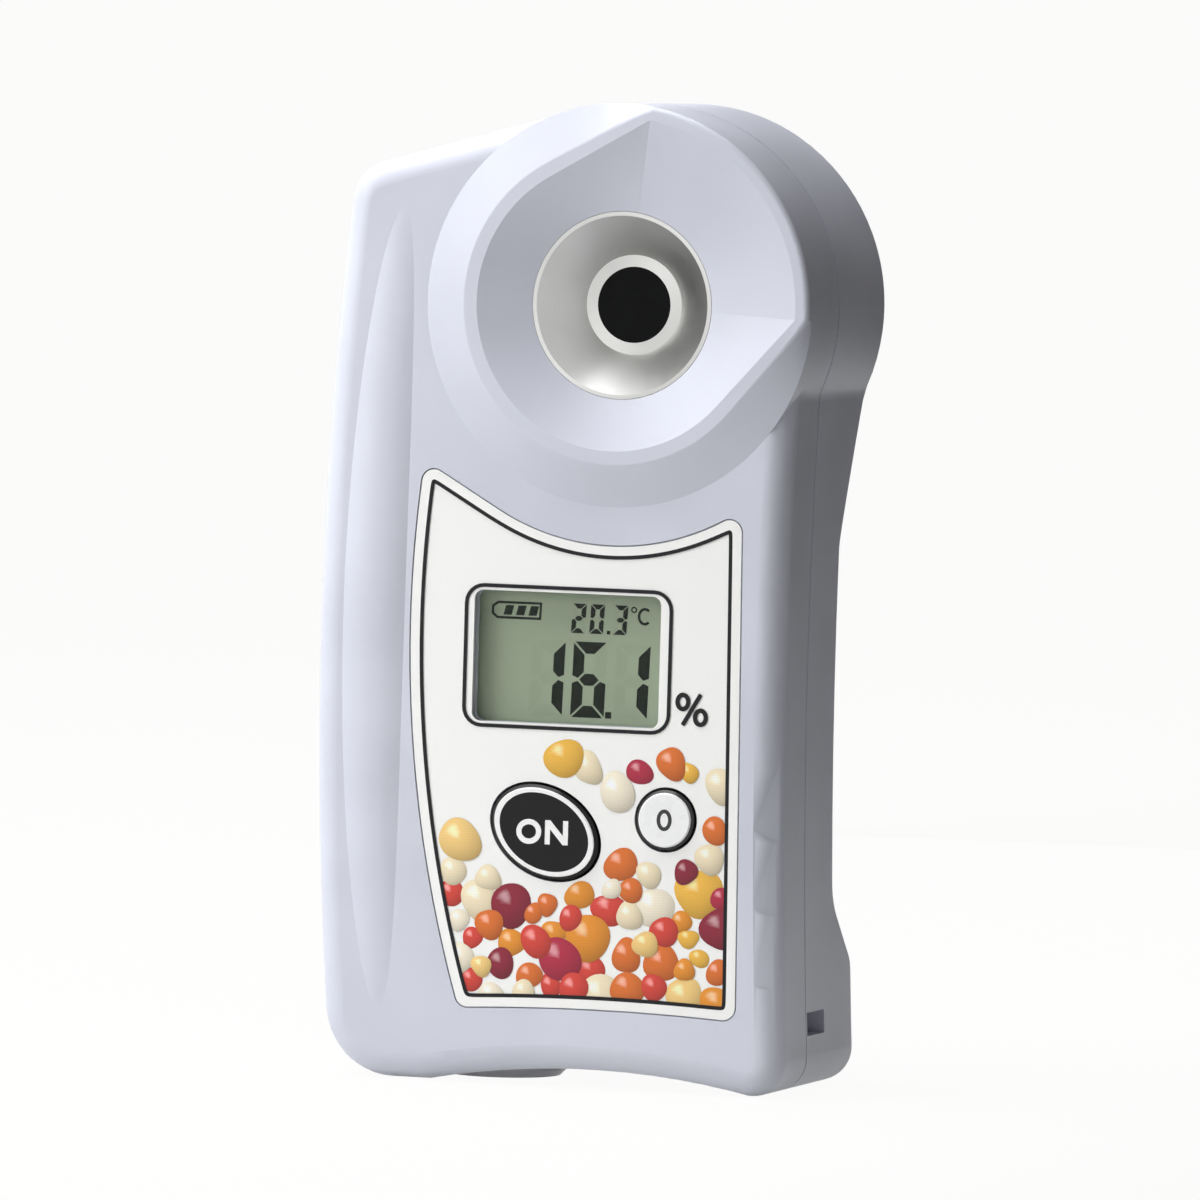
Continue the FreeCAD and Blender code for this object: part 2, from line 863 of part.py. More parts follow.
def sensor_board():
    return end_plate(block_low_z - plate_thickness)


def image_sensor():
    half = sensor_w / 2
    z0 = block_low_z
    return box(head_x - half, head_x + half, path_y - half, path_y + half, z0, z0 + sensor_thickness)


def sensor_flex():
    """Ribbon from under the sensor board to the back of the main board."""
    t = flex_thickness
    z_top = block_low_z - plate_thickness
    path = [
        (block_back_y - flex_foot, z_top),
        (block_y + ear_thickness + flex_foot, z_top),
        (board_back_y, board_high_z),
        (board_back_y, board_high_z - flex_foot),
        (board_back_y + t, board_high_z - flex_foot),
        (board_back_y + t, board_high_z - t),
        (block_y + ear_thickness + flex_foot + t, z_top - t),
        (block_back_y - flex_foot, z_top - t),
    ]
    corners = [V(flex_x - flex_w / 2, y, z) for y, z in path]
    return Part.Face(Part.makePolygon(corners + corners[:1])).extrude(V(flex_w, 0, 0))


def temperature_sensor():
    z = head_z + (nut_r + stage_neck_r) / 2
    y0 = stage_base_y + nut_height
    return rod_y(head_x, z, bead_r, y0, y0 + bead_length)


# Label and display
def overlay_film():
    film = slab(label_outline(), film_floor_y, film_floor_y - film_thickness)
    view = slab(window_outline(0), film_floor_y, front_y)
    return film.cut([view, key_holes(film_floor_y, front_y)])


def display_window():
    return slab(window_outline(window_lap), film_floor_y + window_thickness, film_floor_y)


def display_plate(lap, y0, y1):
    w, h = display_w / 2 + lap, display_h / 2 + lap
    return box(display_x - w, display_x + w, y0, y1, display_z - h, display_z + h)


def window_seal():
    return display_plate(lcd_lap, ceiling_y, lcd_y).cut(display_plate(window_lap, ceiling_y, lcd_y))


def lcd_glass():
    return display_plate(lcd_lap, lcd_y, lcd_y + lcd_thickness)


def lcd_reflector():
    lap = lcd_lap - zebra_w - window_gap
    return display_plate(lap, lcd_y + lcd_thickness, lcd_back_y)


def lcd_frame():
    """Frame on the board that surrounds the glass and the two contact strips."""
    inside = lcd_lap + window_gap
    frame = display_plate(inside + frame_wall, lcd_y, board_y)
    return frame.cut(display_plate(inside, lcd_y, board_y))


def zebra_strips():
    """Rubber contact strips between the glass and the board, above and below."""
    half_w = display_w / 2 + lcd_lap
    edge = display_h / 2 + lcd_lap
    strips = []
    for z0 in (display_z - edge, display_z + edge - zebra_w):
        y0 = lcd_y + lcd_thickness
        strips.append(box(display_x - half_w, display_x + half_w, y0, board_y, z0, z0 + zebra_w))
    return Part.makeCompound(strips)


# Keys
def key_top(x, z, a, b, tilt):
    """A key cap with a bevelled edge that stands a little proud of the film."""
    cap = slab(ellipse(x, z, a, b, tilt), flange_y, key_face_y)
    rim = [e for e in cap.Edges if e.BoundBox.YMax < key_face_y + key_edge / 2]
    flange = slab(ellipse(x, z, a + key_flange, b + key_flange, tilt), flange_back_y, flange_y)
    return fuse([cap.makeChamfer(key_edge, rim), flange])


def start_key():
    return key_top(start_x, start_z, start_a, start_b, start_tilt)


def zero_key():
    return key_top(zero_x, zero_z, zero_r, zero_r, 0)


def plunger(x, z):
    return rod_y(x, z, plunger_r, flange_back_y, plunger_tip_y)


def switch(x, z):
    """Switch housing on the board with a hole for the plunger."""
    half = switch_w / 2
    body = box(x - half, x + half, board_y - switch_height, board_y, z - half, z + half)
    return body.cut(rod_y(x, z, plunger_r + key_gap, board_y - switch_height, board_y))


# Main board
def main_board():
    board = box(board_left_x, board_right_x, board_y, board_back_y, board_low_z, board_high_z)
    return board.cut(posts(board_screw_places(), small_screw_r + seat_gap, board_y, board_back_y))


def board_screws():
    return Part.makeCompound([small_screw(x, z, board_back_y) for x, z in board_screw_places()])


def board_chips():
    """Processor, amplifier and memory on the back of the board."""
    top_y = board_back_y + chip_height
    chips = []
    for x, z, w, h in chip_places:
        chips.append(box(x - w / 2, x + w / 2, board_back_y, top_y, z - h / 2, z + h / 2))
    return Part.makeCompound(chips)


def board_capacitors():
    z0 = board_low_z + board_screw_inset
    spots = [(capacitor_x + i * capacitor_pitch, z0) for i in range(capacitor_count)]
    return Part.makeCompound(posts(spots, capacitor_r, board_back_y, board_back_y + capacitor_height))


# Battery tube and cap
def battery_tube():
    top_z = cells_top_z + contact_thickness + cell_gap
    profile = [
        (tube_in_r, tube_low_z),
        (tube_r, tube_low_z),
        (tube_r, tube_top_z),
        (0, tube_top_z),
        (0, top_z),
        (tube_in_r, top_z),
    ]
    return turned_z(tube_x, tube_y, profile)


def cell(z0):
    can = rod_z(tube_x, tube_y, cell_r, z0, z0 + cell_length - nub_height)
    nub = rod_z(tube_x, tube_y, nub_r, z0 + cell_length - nub_height, z0 + cell_length)
    return fuse([can, nub])


def top_contact():
    """Spring plate between the upper cell and the closed end of the tube."""
    z0 = cells_top_z
    profile = [
        (0, z0),
        (nub_r, z0),
        (cell_r, z0 + cell_gap),
        (cell_r, z0 + cell_gap + contact_thickness),
        (0, z0 + cell_gap + contact_thickness),
    ]
    return turned_z(tube_x, tube_y, profile)


def contact_strip():
    """Flat strip along the tube that joins the cap's end to the board."""
    x0 = tube_x + tube_r
    z1 = board_high_z - board_screw_inset
    return box(x0, x0 + contact_thickness, tube_y - nub_r, tube_y, collar_top, z1)


def battery_cap():
    """Cap with a coin slot below and a hollow plug above."""
    head_top = cap_face_z + cap_head
    profile = [
        (0, cap_face_z),
        (cap_r - cap_slot_w / 2, cap_face_z),
        (cap_r, cap_face_z + cap_slot_w / 2),
        (cap_r, head_top),
        (cap_plug_r, head_top),
        (cap_plug_r, cap_plug_top),
        (cap_plug_r - cap_wall, cap_plug_top),
        (cap_plug_r - cap_wall, head_top),
        (0, head_top),
    ]
    cap = turned_z(tube_x, tube_y, profile)
    half_l, half_w = cap_plug_r, cap_slot_w / 2
    slot_top = cap_face_z + cap_slot_depth
    slot = box(tube_x - half_l, tube_x + half_l, tube_y - half_w, tube_y + half_w, cap_face_z, slot_top)
    return cap.cut(slot)


def cap_contact():
    """Domed spring plate in the plug that presses on the lower cell."""
    r = cap_plug_r - cap_wall
    z0, z1 = cap_face_z + cap_head, cell_low_z - seat_gap
    profile = [
        (0, z1 - contact_thickness),
        (nub_r, z1 - contact_thickness),
        (r, z0),
        (r, z0 + contact_thickness),
        (nub_r, z1),
        (0, z1),
    ]
    return turned_z(tube_x, tube_y, profile)


def cap_seal():
    z0 = cap_face_z + cap_head
    ring = rod_z(tube_x, tube_y, cap_r - cap_gap, z0, shelf_z)
    return ring.cut(rod_z(tube_x, tube_y, cap_plug_r + cap_gap, z0, shelf_z))


def build():
    return {
        "front_case": front_case(),
        "rear_case": rear_case(),
        "case_seal": case_seal(),
        "case_screws": case_screws(),
        "sample_stage": sample_stage(),
        "stage_seal": stage_seal(),
        "stage_nut": stage_nut(),
        "prism": prism(),
        "prism_seal": prism_seal(),
        "optics_block": optics_block(),
        "optics_screws": optics_screws(),
        "lamp_board": lamp_board(),
        "lamp_led": lamp_led(),
        "focusing_lens": focusing_lens(),
        "lens_ring": lens_ring(),
        "sensor_board": sensor_board(),
        "image_sensor": image_sensor(),
        "sensor_flex": sensor_flex(),
        "temperature_sensor": temperature_sensor(),
        "overlay_film": overlay_film(),
        "display_window": display_window(),
        "window_seal": window_seal(),
        "lcd_glass": lcd_glass(),
        "lcd_reflector": lcd_reflector(),
        "lcd_frame": lcd_frame(),
        "zebra_strips": zebra_strips(),
        "start_key": start_key(),
        "start_plunger": plunger(start_x, start_z),
        "start_switch": switch(start_x, start_z),
        "zero_key": zero_key(),
        "zero_plunger": plunger(zero_x, zero_z),
        "zero_switch": switch(zero_x, zero_z),
        "main_board": main_board(),
        "board_screws": board_screws(),
        "board_chips": board_chips(),
        "board_capacitors": board_capacitors(),
        "battery_tube": battery_tube(),
        "battery_lower": cell(cell_low_z),
        "battery_upper": cell(cell_low_z + cell_length),
        "top_contact": top_contact(),
        "contact_strip": contact_strip(),
        "battery_cap": battery_cap(),
        "cap_contact": cap_contact(),
        "cap_seal": cap_seal(),
    }


def main():
    os.makedirs("parts", exist_ok=True)
    for node, shape in build().items():
        shape.exportStep(f"parts/{node}.step")


if __name__ == "__main__":
    main()
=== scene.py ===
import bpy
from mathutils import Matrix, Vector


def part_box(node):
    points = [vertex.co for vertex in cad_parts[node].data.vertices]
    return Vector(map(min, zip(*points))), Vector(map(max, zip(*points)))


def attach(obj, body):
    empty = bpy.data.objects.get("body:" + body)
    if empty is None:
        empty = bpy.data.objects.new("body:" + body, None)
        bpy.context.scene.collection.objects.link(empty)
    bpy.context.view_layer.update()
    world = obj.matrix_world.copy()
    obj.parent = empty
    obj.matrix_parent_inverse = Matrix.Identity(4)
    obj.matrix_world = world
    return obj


bl_info = {
    "name": "Pocket Refractometer Finish",
    "version": (1, 0, 0),
    "blender": (4, 5, 0),
    "location": "3D View > Sidebar > Refractometer",
    "description": "Surfaces, label, display, keys and studio for a pocket refractometer",
    "category": "Object",
}

import math
import random

import bmesh
import bpy
from bpy.props import FloatProperty, FloatVectorProperty, IntProperty, PointerProperty
from mathutils import Matrix, Vector

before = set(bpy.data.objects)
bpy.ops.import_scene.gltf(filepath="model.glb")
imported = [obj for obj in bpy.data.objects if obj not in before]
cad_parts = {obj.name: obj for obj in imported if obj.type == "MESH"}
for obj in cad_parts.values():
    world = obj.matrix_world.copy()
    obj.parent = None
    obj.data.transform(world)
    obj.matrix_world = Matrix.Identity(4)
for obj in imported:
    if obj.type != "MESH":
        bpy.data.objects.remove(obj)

MM = 0.001
MICRON = 1e-6
STAGE_MIDDLE = sum(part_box("sample_stage"), Vector()) / 2
START_MIDDLE = sum(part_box("start_key"), Vector()) / 2
ZERO_MIDDLE = sum(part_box("zero_key"), Vector()) / 2
FILM_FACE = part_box("overlay_film")[0].y
LCD_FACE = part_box("lcd_glass")[0].y
START_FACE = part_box("start_key")[0].y
ZERO_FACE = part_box("zero_key")[0].y

# A ring or band wave repeats every tenth of pi metres at a scale of 1
WAVE_REPEAT = math.pi / 10


def linear(code):
    """A hex colour as the eye sees it, turned to the linear values that light adds up in."""
    channels = [int(code[i : i + 2], 16) / 255 for i in (1, 3, 5)]
    return [c / 12.92 if c <= 0.04045 else ((c + 0.055) / 1.055) ** 2.4 for c in channels] + [1.0]


def size(name, text, mm):
    return FloatProperty(name=name, description=text, default=mm * MM, min=0.0, unit="LENGTH", precision=5)


def share(name, text, value):
    return FloatProperty(name=name, description=text, default=value, min=0.0, max=1.0, subtype="FACTOR")


def tint(name, text, code):
    return FloatVectorProperty(
        name=name, description=text, size=4, min=0.0, max=1.0, subtype="COLOR", default=linear(code)
    )


def power(name, text, watts):
    return FloatProperty(name=name, description=text, default=watts, min=0.0, unit="POWER")


def angle(name, text, degrees):
    return FloatProperty(name=name, description=text, default=math.radians(degrees), subtype="ANGLE")


# What a user would change


class ShellProperties(bpy.types.PropertyGroup):
    colour: tint("Colour", "ABS of the two housing halves", "#CFD2DE")
    shade: tint("Second colour", "Tone that the ABS drifts to in patches", "#C7CAD6")
    gloss: share("Roughness", "Roughness of the satin moulded face", 0.42)
    grain: size("Grain width", "Width of the spark eroded grain", 0.35)
    cap_colour: tint("Cap colour", "ABS of the battery cap", "#E4E5EA")


class StageProperties(bpy.types.PropertyGroup):
    steel: tint("Steel", "Turned stainless steel of the sample stage", "#C6C6C4")
    turning: size("Turning pitch", "Distance between the turned rings", 0.22)
    gloss: share("Roughness", "Roughness across the turned rings", 0.35)
    prism: tint("Prism", "Optical glass with darkness behind it", "#030405")


class LabelProperties(bpy.types.PropertyGroup):
    ground: tint("Ground", "White printed behind the label film", "#F3F3F1")
    ink: tint("Ink", "Black of the border lines", "#17171A")
    border_inset: size("Border inset", "Distance from the edge of the film to the border line", 1.25)
    border_width: size("Border width", "Width of the border line", 0.42)
    pebbles: IntProperty(name="Pebbles", description="Pebbles in the print", default=62, min=0, max=400)
    seed: IntProperty(name="Seed", description="Arrangement of the pebbles", default=11, min=0)


class DisplayProperties(bpy.types.PropertyGroup):
    ground: tint("Ground", "Reflective liquid crystal display at rest", "#98A68C")
    segment: tint("Segment", "Segments that are on", "#10180F")
    idle: tint("Idle segment", "Segments that are off", "#94A288")
    digit_height: size("Digit height", "Height of the large digits", 8.35)
    digit_width: size("Digit width", "Width of the large digits", 3.9)
    stroke: size("Stroke", "Width of a large segment", 1.3)
    small_height: size("Small digit height", "Height of the temperature digits", 3.25)
    small_width: size("Small digit width", "Width of the temperature digits", 1.6)
    small_stroke: size("Small stroke", "Width of a small segment", 0.54)


class KeyProperties(bpy.types.PropertyGroup):
    dark: tint("Black key", "Gloss black cap of the large key", "#0D0D0F")
    pale: tint("White key", "White cap of the small key", "#EFF0F0")
    ring: tint("Ring", "White ring printed on the black key", "#F1F1F0")
    ring_width: size("Ring width", "Width of the white ring", 0.5)
    edge_width: size("Edge width", "Width of the black line round each key", 0.3)


class StudioProperties(bpy.types.PropertyGroup):
    floor: tint("Floor", "Floor and backdrop", "#CFCFCD")
    top_light: power("Top light", "Large soft light overhead, watts", 9.5)
    key_light: power("Key light", "Soft light at the front left, watts", 2.2)
    fill_light: power("Fill light", "Soft light in front, watts", 0.4)
    azimuth: angle("Azimuth", "Camera angle to the right of the label", 18.0)
    elevation: angle("Elevation", "Camera angle above the label", 2.7)
    roll: angle("Roll", "Lean of the object in the picture", 1.6)
    distance: size("Distance", "Distance from the camera to the object", 1333)
    lens: FloatProperty(
        name="Lens", description="Focal length in mm, on a 36 mm sensor", default=360, min=1.0, unit="CAMERA"
    )


GROUPS = (
    (ShellProperties, "refractometer_shell"),
    (StageProperties, "refractometer_stage"),
    (LabelProperties, "refractometer_label"),
    (DisplayProperties, "refractometer_display"),
    (KeyProperties, "refractometer_keys"),
    (StudioProperties, "refractometer_studio"),
)


# Making materials


def set_inputs(tree, node, inputs):
    """Sets inputs of a node, each to a value or to another node's output."""
    for key, value in inputs.items():
        if isinstance(value, bpy.types.NodeSocket):
            tree.links.new(value, node.inputs[key])
        else:
            node.inputs[key].default_value = value


def add_node(tree, kind, inputs=None, stops=(), **settings):
    """Adds one node with its settings and inputs; stops are a ramp's positions and colours."""
    node = tree.nodes.new(kind)
    for key, value in settings.items():
        setattr(node, key, value)
    set_inputs(tree, node, inputs or {})
    for i, (position, colour) in enumerate(stops):
        stop = node.color_ramp.elements[i] if i < 2 else node.color_ramp.elements.new(position)
        stop.position, stop.color = position, colour
    return node


def new_finish(name):
    """A material with only a shader on its output, and the place of each point in metres."""
    finish = bpy.data.materials.new(name)
    finish.use_nodes = True
    tree = finish.node_tree
    tree.nodes.clear()
    shader = add_node(tree, "ShaderNodeBsdfPrincipled")
    add_node(tree, "ShaderNodeOutputMaterial", {"Surface": shader.outputs[0]})
    place = add_node(tree, "ShaderNodeTexCoord").outputs["Object"]
    return finish, tree, shader, place


def per_metre(mm):
    """The scale of a noise or cell pattern whose features are this many millimetres wide."""
    return 1.0 / (mm * MM)


def toned(colour, part):
    """A colour with each channel taken to a part of itself."""
    return [c * part for c in colour[:3]] + [1.0]


def tone_drift(tree, place, width, detail, stops):
    """A colour that drifts between tones in patches of a real width in millimetres."""
    cloud = {"Vector": place, "Scale": per_metre(width), "Detail": detail}
    noise = add_node(tree, "ShaderNodeTexNoise", cloud).outputs["Fac"]
    return add_node(tree, "ShaderNodeValToRGB", {"Fac": noise}, stops).outputs["Color"]


def worn_gloss(tree, place, roughness, width, detail, drift, spread=(0.3, 0.7)):
    """A roughness that drifts down and up in patches of a real width, over the noise's own spread."""
    cloud = {"Vector": place, "Scale": per_metre(width), "Detail": detail}
    noise = add_node(tree, "ShaderNodeTexNoise", cloud).outputs["Fac"]
    low, high = (roughness + step for step in drift)
    between = {"From Min": spread[0], "From Max": spread[1], "To Min": low, "To Max": high}
    return add_node(tree, "ShaderNodeMapRange", {"Value": noise, **between}).outputs["Result"]


def fine_relief(tree, place, width, detail, strength, depth):
    """The lean of a surface with a grain of a real width and depth in millimetres."""
    cloud = {"Vector": place, "Scale": per_metre(width), "Detail": detail}
    noise = add_node(tree, "ShaderNodeTexNoise", cloud).outputs["Fac"]
    bump = {"Height": noise, "Strength": strength, "Distance": depth * MM}
    return add_node(tree, "ShaderNodeBump", bump).outputs["Normal"]


def dress(finish, *nodes):
    """Gives nodes of the frame their finish."""
    for node in nodes:
        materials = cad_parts[node].data.materials
        if not len(materials):
            materials.append(finish)
        for i in range(len(materials)):
            materials[i] = finish


# Making meshes


def linked_mesh(name, mesh_data, finish):
    """An object in the scene from a finished mesh, in one finish."""
    mesh = bpy.data.meshes.new(name)
    mesh_data.to_mesh(mesh)
    mesh_data.free()
    mesh.materials.append(finish)
    made = bpy.data.objects.new(name, mesh)
    bpy.context.scene.collection.objects.link(made)
    return made


def make_print(name, flat, finish, body):
    """A piece of flat print that faces the front and rides on a body."""
    for face in flat.faces:
        face.normal_update()
        if face.normal.y > 0:
            face.normal_flip()
    piece = linked_mesh(name, flat, finish)
    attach(piece, body)
    return piece


def print_shapes(name, shapes, level, finish, body):
    """Flat print at one distance in front; each shape is a list of (x, z) corners."""
    flat = bmesh.new()
    for shape in shapes:
        flat.faces.new([flat.verts.new((x, level, z)) for x, z in shape])
    return make_print(name, flat, finish, body)


def metres(points):
    """Points in millimetres, turned to metres."""
    return [(x * MM, z * MM) for x, z in points]


def pairs(loop):
    """Each point of a closed line with the one after it."""
    return zip(loop, loop[1:] + loop[:1])


def stroke(points, width, closed=False):
    """A line of one width along (x, z) points, as four-cornered shapes."""
    count = len(points)
    sides = []
    for i, point in enumerate(points):
        before = Vector(points[i - 1] if closed or i else point)
        after = Vector(points[(i + 1) % count] if closed or i < count - 1 else point)
        here = Vector(point)
        a = (here - before).normalized() if (here - before).length else (after - here).normalized()
        b = (after - here).normalized() if (after - here).length else a
        along = (a + b).normalized()
        out = Vector((-along.y, along.x)) * (width / 2) / max(along.dot(a), 0.35)
        sides.append((tuple(here + out), tuple(here - out)))
    spans = pairs(sides) if closed else zip(sides, sides[1:])
    return [[a[0], b[0], b[1], a[1]] for a, b in spans]


def oval(x, z, half_width, half_height, count):
    """Points round an ellipse."""
    around = [2 * math.pi * i / count for i in range(count)]
    return [(x + half_width * math.cos(a), z + half_height * math.sin(a)) for a in around]


def spot(place):
    """A place to a tenth of a micron, the same for all corners that meet there."""
    return tuple(round(c * 1e7) for c in place)


# Finishes


def moulded_abs(name, colour, shade, roughness, grain):
    """ABS injection moulded in a spark eroded tool: pale, satin, with wide soft highlights and fine grain."""
    finish, tree, shader, place = new_finish(name)
    set_inputs(tree, shader, {
        "Base Color": tone_drift(tree, place, width=22, detail=2, stops=[(0.38, shade), (0.62, colour)]),
        # Handling leaves patches of gloss a finger wide
        "Roughness": worn_gloss(tree, place, roughness, width=11, detail=3, drift=(-0.03, 0.04)),
        "Normal": fine_relief(tree, place, width=grain / MM, detail=1, strength=0.16, depth=0.02),
        "IOR": 1.53,
    })
    return finish


def turned_steel(name, colour, pitch, roughness, middle):
    """Stainless steel faced on a lathe: fine rings round the axis that stretch each highlight into a fan."""
    finish, tree, shader, place = new_finish(name)
    centred = add_node(tree, "ShaderNodeVectorMath", {0: place, 1: middle}, operation="SUBTRACT").outputs[0]
    cut = {"Scale": WAVE_REPEAT / pitch, "Distortion": 0.6, "Detail": 2.0, "Detail Scale": 0.3}
    rings = add_node(
        tree, "ShaderNodeTexWave", {"Vector": centred, **cut}, wave_type="RINGS", rings_direction="Y"
    ).outputs["Fac"]
    stops = [(0.0, toned(colour, 0.93)), (1.0, colour)]
    # A tool mark is a hundredth of a millimetre deep
    marks = {"Height": rings, "Strength": 0.25, "Distance": 0.01 * MM}
    set_inputs(tree, shader, {
        "Base Color": add_node(tree, "ShaderNodeValToRGB", {"Fac": rings}, stops).outputs["Color"],
        "Roughness": worn_gloss(tree, place, roughness, width=3.5, detail=3, drift=(-0.03, 0.05)),
        "Normal": add_node(tree, "ShaderNodeBump", marks).outputs["Normal"],
        "Tangent": add_node(tree, "ShaderNodeTangent", direction_type="RADIAL", axis="Y").outputs[0],
        "Metallic": 1.0,
        "Anisotropic": 0.45,
    })
    return finish


def polished_glass(name, colour, roughness, ior, gleam=0.5):
    """Optical glass, ground and polished: a hard, clear reflection over darkness, with a trace of wiping."""
    finish, tree, shader, place = new_finish(name)
    wiped = {"width": 1.6, "detail": 4}
    lighter = [min(1.0, c * 1.25 + 0.002) for c in colour[:3]] + [1.0]
    set_inputs(tree, shader, {
        "Base Color": tone_drift(tree, place, **wiped, stops=[(0.3, colour), (0.8, lighter)]),
        "Roughness": worn_gloss(tree, place, roughness, **wiped, drift=(0.0, 0.05), spread=(0.35, 0.75)),
        "IOR": ior,
        "Specular IOR Level": gleam,
    })
    return finish


def dot_screen(tree, place):
    """Four colour print: the ink of each pebble, broken by a dot screen drawn as coarse as 0.3 mm to show."""
    inked = add_node(tree, "ShaderNodeAttribute", attribute_name="print_ink").outputs["Color"]
    cells = {"Vector": place, "Scale": per_metre(0.3), "Randomness": 0.0}
    dots = add_node(tree, "ShaderNodeTexVoronoi", cells).outputs["Distance"]
    stops = [(0.2, toned((1, 1, 1), 1.0)), (0.7, toned((1, 1, 1), 0.9))]
    screen = add_node(tree, "ShaderNodeValToRGB", {"Fac": dots}, stops).outputs["Color"]
    mixed = {0: 1.0, 6: inked, 7: screen}
    return add_node(tree, "ShaderNodeMix", mixed, data_type="RGBA", blend_type="MULTIPLY").outputs[2]


def printed_film(name, colour, roughness, ink_layer=False, gleam=0.5):
    """Polycarbonate film printed on its back, with a velvet face: even ink under a soft even sheen."""
    finish, tree, shader, place = new_finish(name)
    wear = {"width": 14, "detail": 1}
    if ink_layer:
        ground = dot_screen(tree, place)
    else:
        ground = tone_drift(tree, place, **wear, stops=[(0.1, toned(colour, 0.992)), (0.9, colour)])
    set_inputs(tree, shader, {
        "Base Color": ground,
        "Roughness": worn_gloss(tree, place, roughness, **wear, drift=(-0.02, 0.02), spread=(0.1, 0.9)),
        # The velvet is drawn as coarse as 0.3 mm to show
        "Normal": fine_relief(tree, place, width=0.3, detail=1, strength=0.03, depth=0.01),
        "IOR": 1.58,
        "Specular IOR Level": gleam,
    })
    return finish


def cast_acrylic(name, colour, roughness):
    """Clear cast acrylic over the display: almost invisible, with a thin reflection and a few fine scuffs."""
    finish, tree, shader, place = new_finish(name)
    scuffs = {"width": 0.9, "detail": 5}
    set_inputs(tree, shader, {
        "Roughness": worn_gloss(tree, place, roughness, **scuffs, drift=(0.0, 0.06), spread=(0.4, 0.75)),
        "Base Color": colour,
        "IOR": 1.49,
        "Alpha": 0.03,
    })
    return finish


def display_glass(name, colour, roughness, gleam=0.4):
    """Liquid crystal cell under an anti-glare polariser: grey green and dull, with a faint cloud in it."""
    finish, tree, shader, place = new_finish(name)
    stops = [(0.3, toned(colour, 0.94)), (0.7, colour)]
    set_inputs(tree, shader, {
        "Base Color": tone_drift(tree, place, width=9, detail=2, stops=stops),
        "Normal": fine_relief(tree, place, width=0.25, detail=0, strength=0.1, depth=0.01),
        "Roughness": roughness,
        "IOR": 1.5,
        "Specular IOR Level": gleam,
    })
    return finish


def ringed_key(name, middle, half_size, turn, inks, ring_width, edge_width, roughness, gleam):
    """Polycarbonate key cap, moulded and pad printed: gloss face, a printed ring and a dark rim."""
    finish, tree, shader, place = new_finish(name)
    half_width, half_height = half_size
    # The depth is scaled away, so that the rings follow only the key's outline
    key_space = {
        "Vector": place,
        "Location": (middle.x, 0.0, middle.z),
        "Rotation": (0.0, turn, 0.0),
        "Scale": (half_width, 1.0e6, half_height),
    }
    flat = add_node(tree, "ShaderNodeMapping", key_space, vector_type="TEXTURE").outputs[0]
    reach = add_node(tree, "ShaderNodeVectorMath", {0: flat}, operation="LENGTH").outputs["Value"]
    outer = 1.0 - edge_width / half_height
    inner = outer - ring_width / half_height
    zones = add_node(tree, "ShaderNodeValToRGB", {"Fac": reach}, stops=zip((0.0, inner, outer), inks))
    zones.color_ramp.interpolation = "CONSTANT"
    set_inputs(tree, shader, {
        "Base Color": zones.outputs["Color"],
        "Roughness": worn_gloss(tree, place, roughness, width=2.5, detail=3, drift=(-0.04, 0.06)),
        # Moulded gloss has a trace of orange peel
        "Normal": fine_relief(tree, place, width=0.8, detail=1, strength=0.06, depth=0.02),
        "IOR": 1.58,
        "Specular IOR Level": gleam,
    })
    return finish


def speckled(name, colours, patch, roughness, ior=1.5, metallic=0.0, grain=0.3, relief=0.1):
    """A body colour that drifts between two tones over patches of a real width, with a fine surface grain."""
    finish, tree, shader, place = new_finish(name)
    patches = {"width": patch, "detail": 3}
    set_inputs(tree, shader, {
        "Base Color": tone_drift(tree, place, **patches, stops=zip((0.35, 0.65), map(linear, colours))),
        "Roughness": worn_gloss(tree, place, roughness, **patches, drift=(-0.04, 0.05)),
        "Normal": fine_relief(tree, place, width=grain, detail=1, strength=relief, depth=0.02),
        "Metallic": metallic,
    })
    # A metal keeps the shader's own index
    if not metallic:
        shader.inputs["IOR"].default_value = ior
    return finish


def circuit_board(name):
    """Glass epoxy board under green solder mask: glossy green with the tracks showing as a paler tone."""
    finish, tree, shader, place = new_finish(name)
    cells = {"Vector": place, "Scale": per_metre(2.4), "Randomness": 0.75}
    tracks = add_node(tree, "ShaderNodeTexVoronoi", cells, distance="CHEBYCHEV").outputs["Distance"]
    greens = map(linear, ("#2F7A48", "#1B5A33", "#2A7243", "#194F2E"))
    stops = zip((0.0, 0.36, 0.44, 0.52), greens)
    mask = add_node(tree, "ShaderNodeValToRGB", {"Fac": tracks}, stops).outputs["Color"]
    copper = {"Height": mask, "Strength": 0.2, "Distance": 0.03 * MM}
    set_inputs(tree, shader, {
        "Base Color": mask,
        "Normal": add_node(tree, "ShaderNodeBump", copper).outputs["Normal"],
        "Roughness": 0.3,
        "IOR": 1.55,
    })
    return finish


def banded(name, colours, start, pitch, axis, roughness):
    """Two tones in bands across one axis, as on a wrapped cell or a layered rubber connector."""
    finish, tree, shader, place = new_finish(name)
    centred = add_node(tree, "ShaderNodeVectorMath", {0: place, 1: start}, operation="SUBTRACT").outputs[0]
    layers = {"Vector": centred, "Scale": WAVE_REPEAT / pitch}
    bands = add_node(tree, "ShaderNodeTexWave", layers, wave_type="BANDS", bands_direction=axis)
    stops = zip((0.47, 0.53), map(linear, colours))
    tones = add_node(tree, "ShaderNodeValToRGB", {"Fac": bands.outputs["Fac"]}, stops)
    set_inputs(tree, shader, {
        "Base Color": tones.outputs["Color"],
        "Roughness": worn_gloss(tree, place, roughness, width=4, detail=3, drift=(-0.05, 0.05)),
    })
    return finish


# Pieces

# A sliver is folded back where its normal and its neighbour's have a cosine below this
FOLD_COSINE = -0.9
SLIVER_AREA = 0.05 * MM * MM
SLIVER_REACH = 0.4 * MM


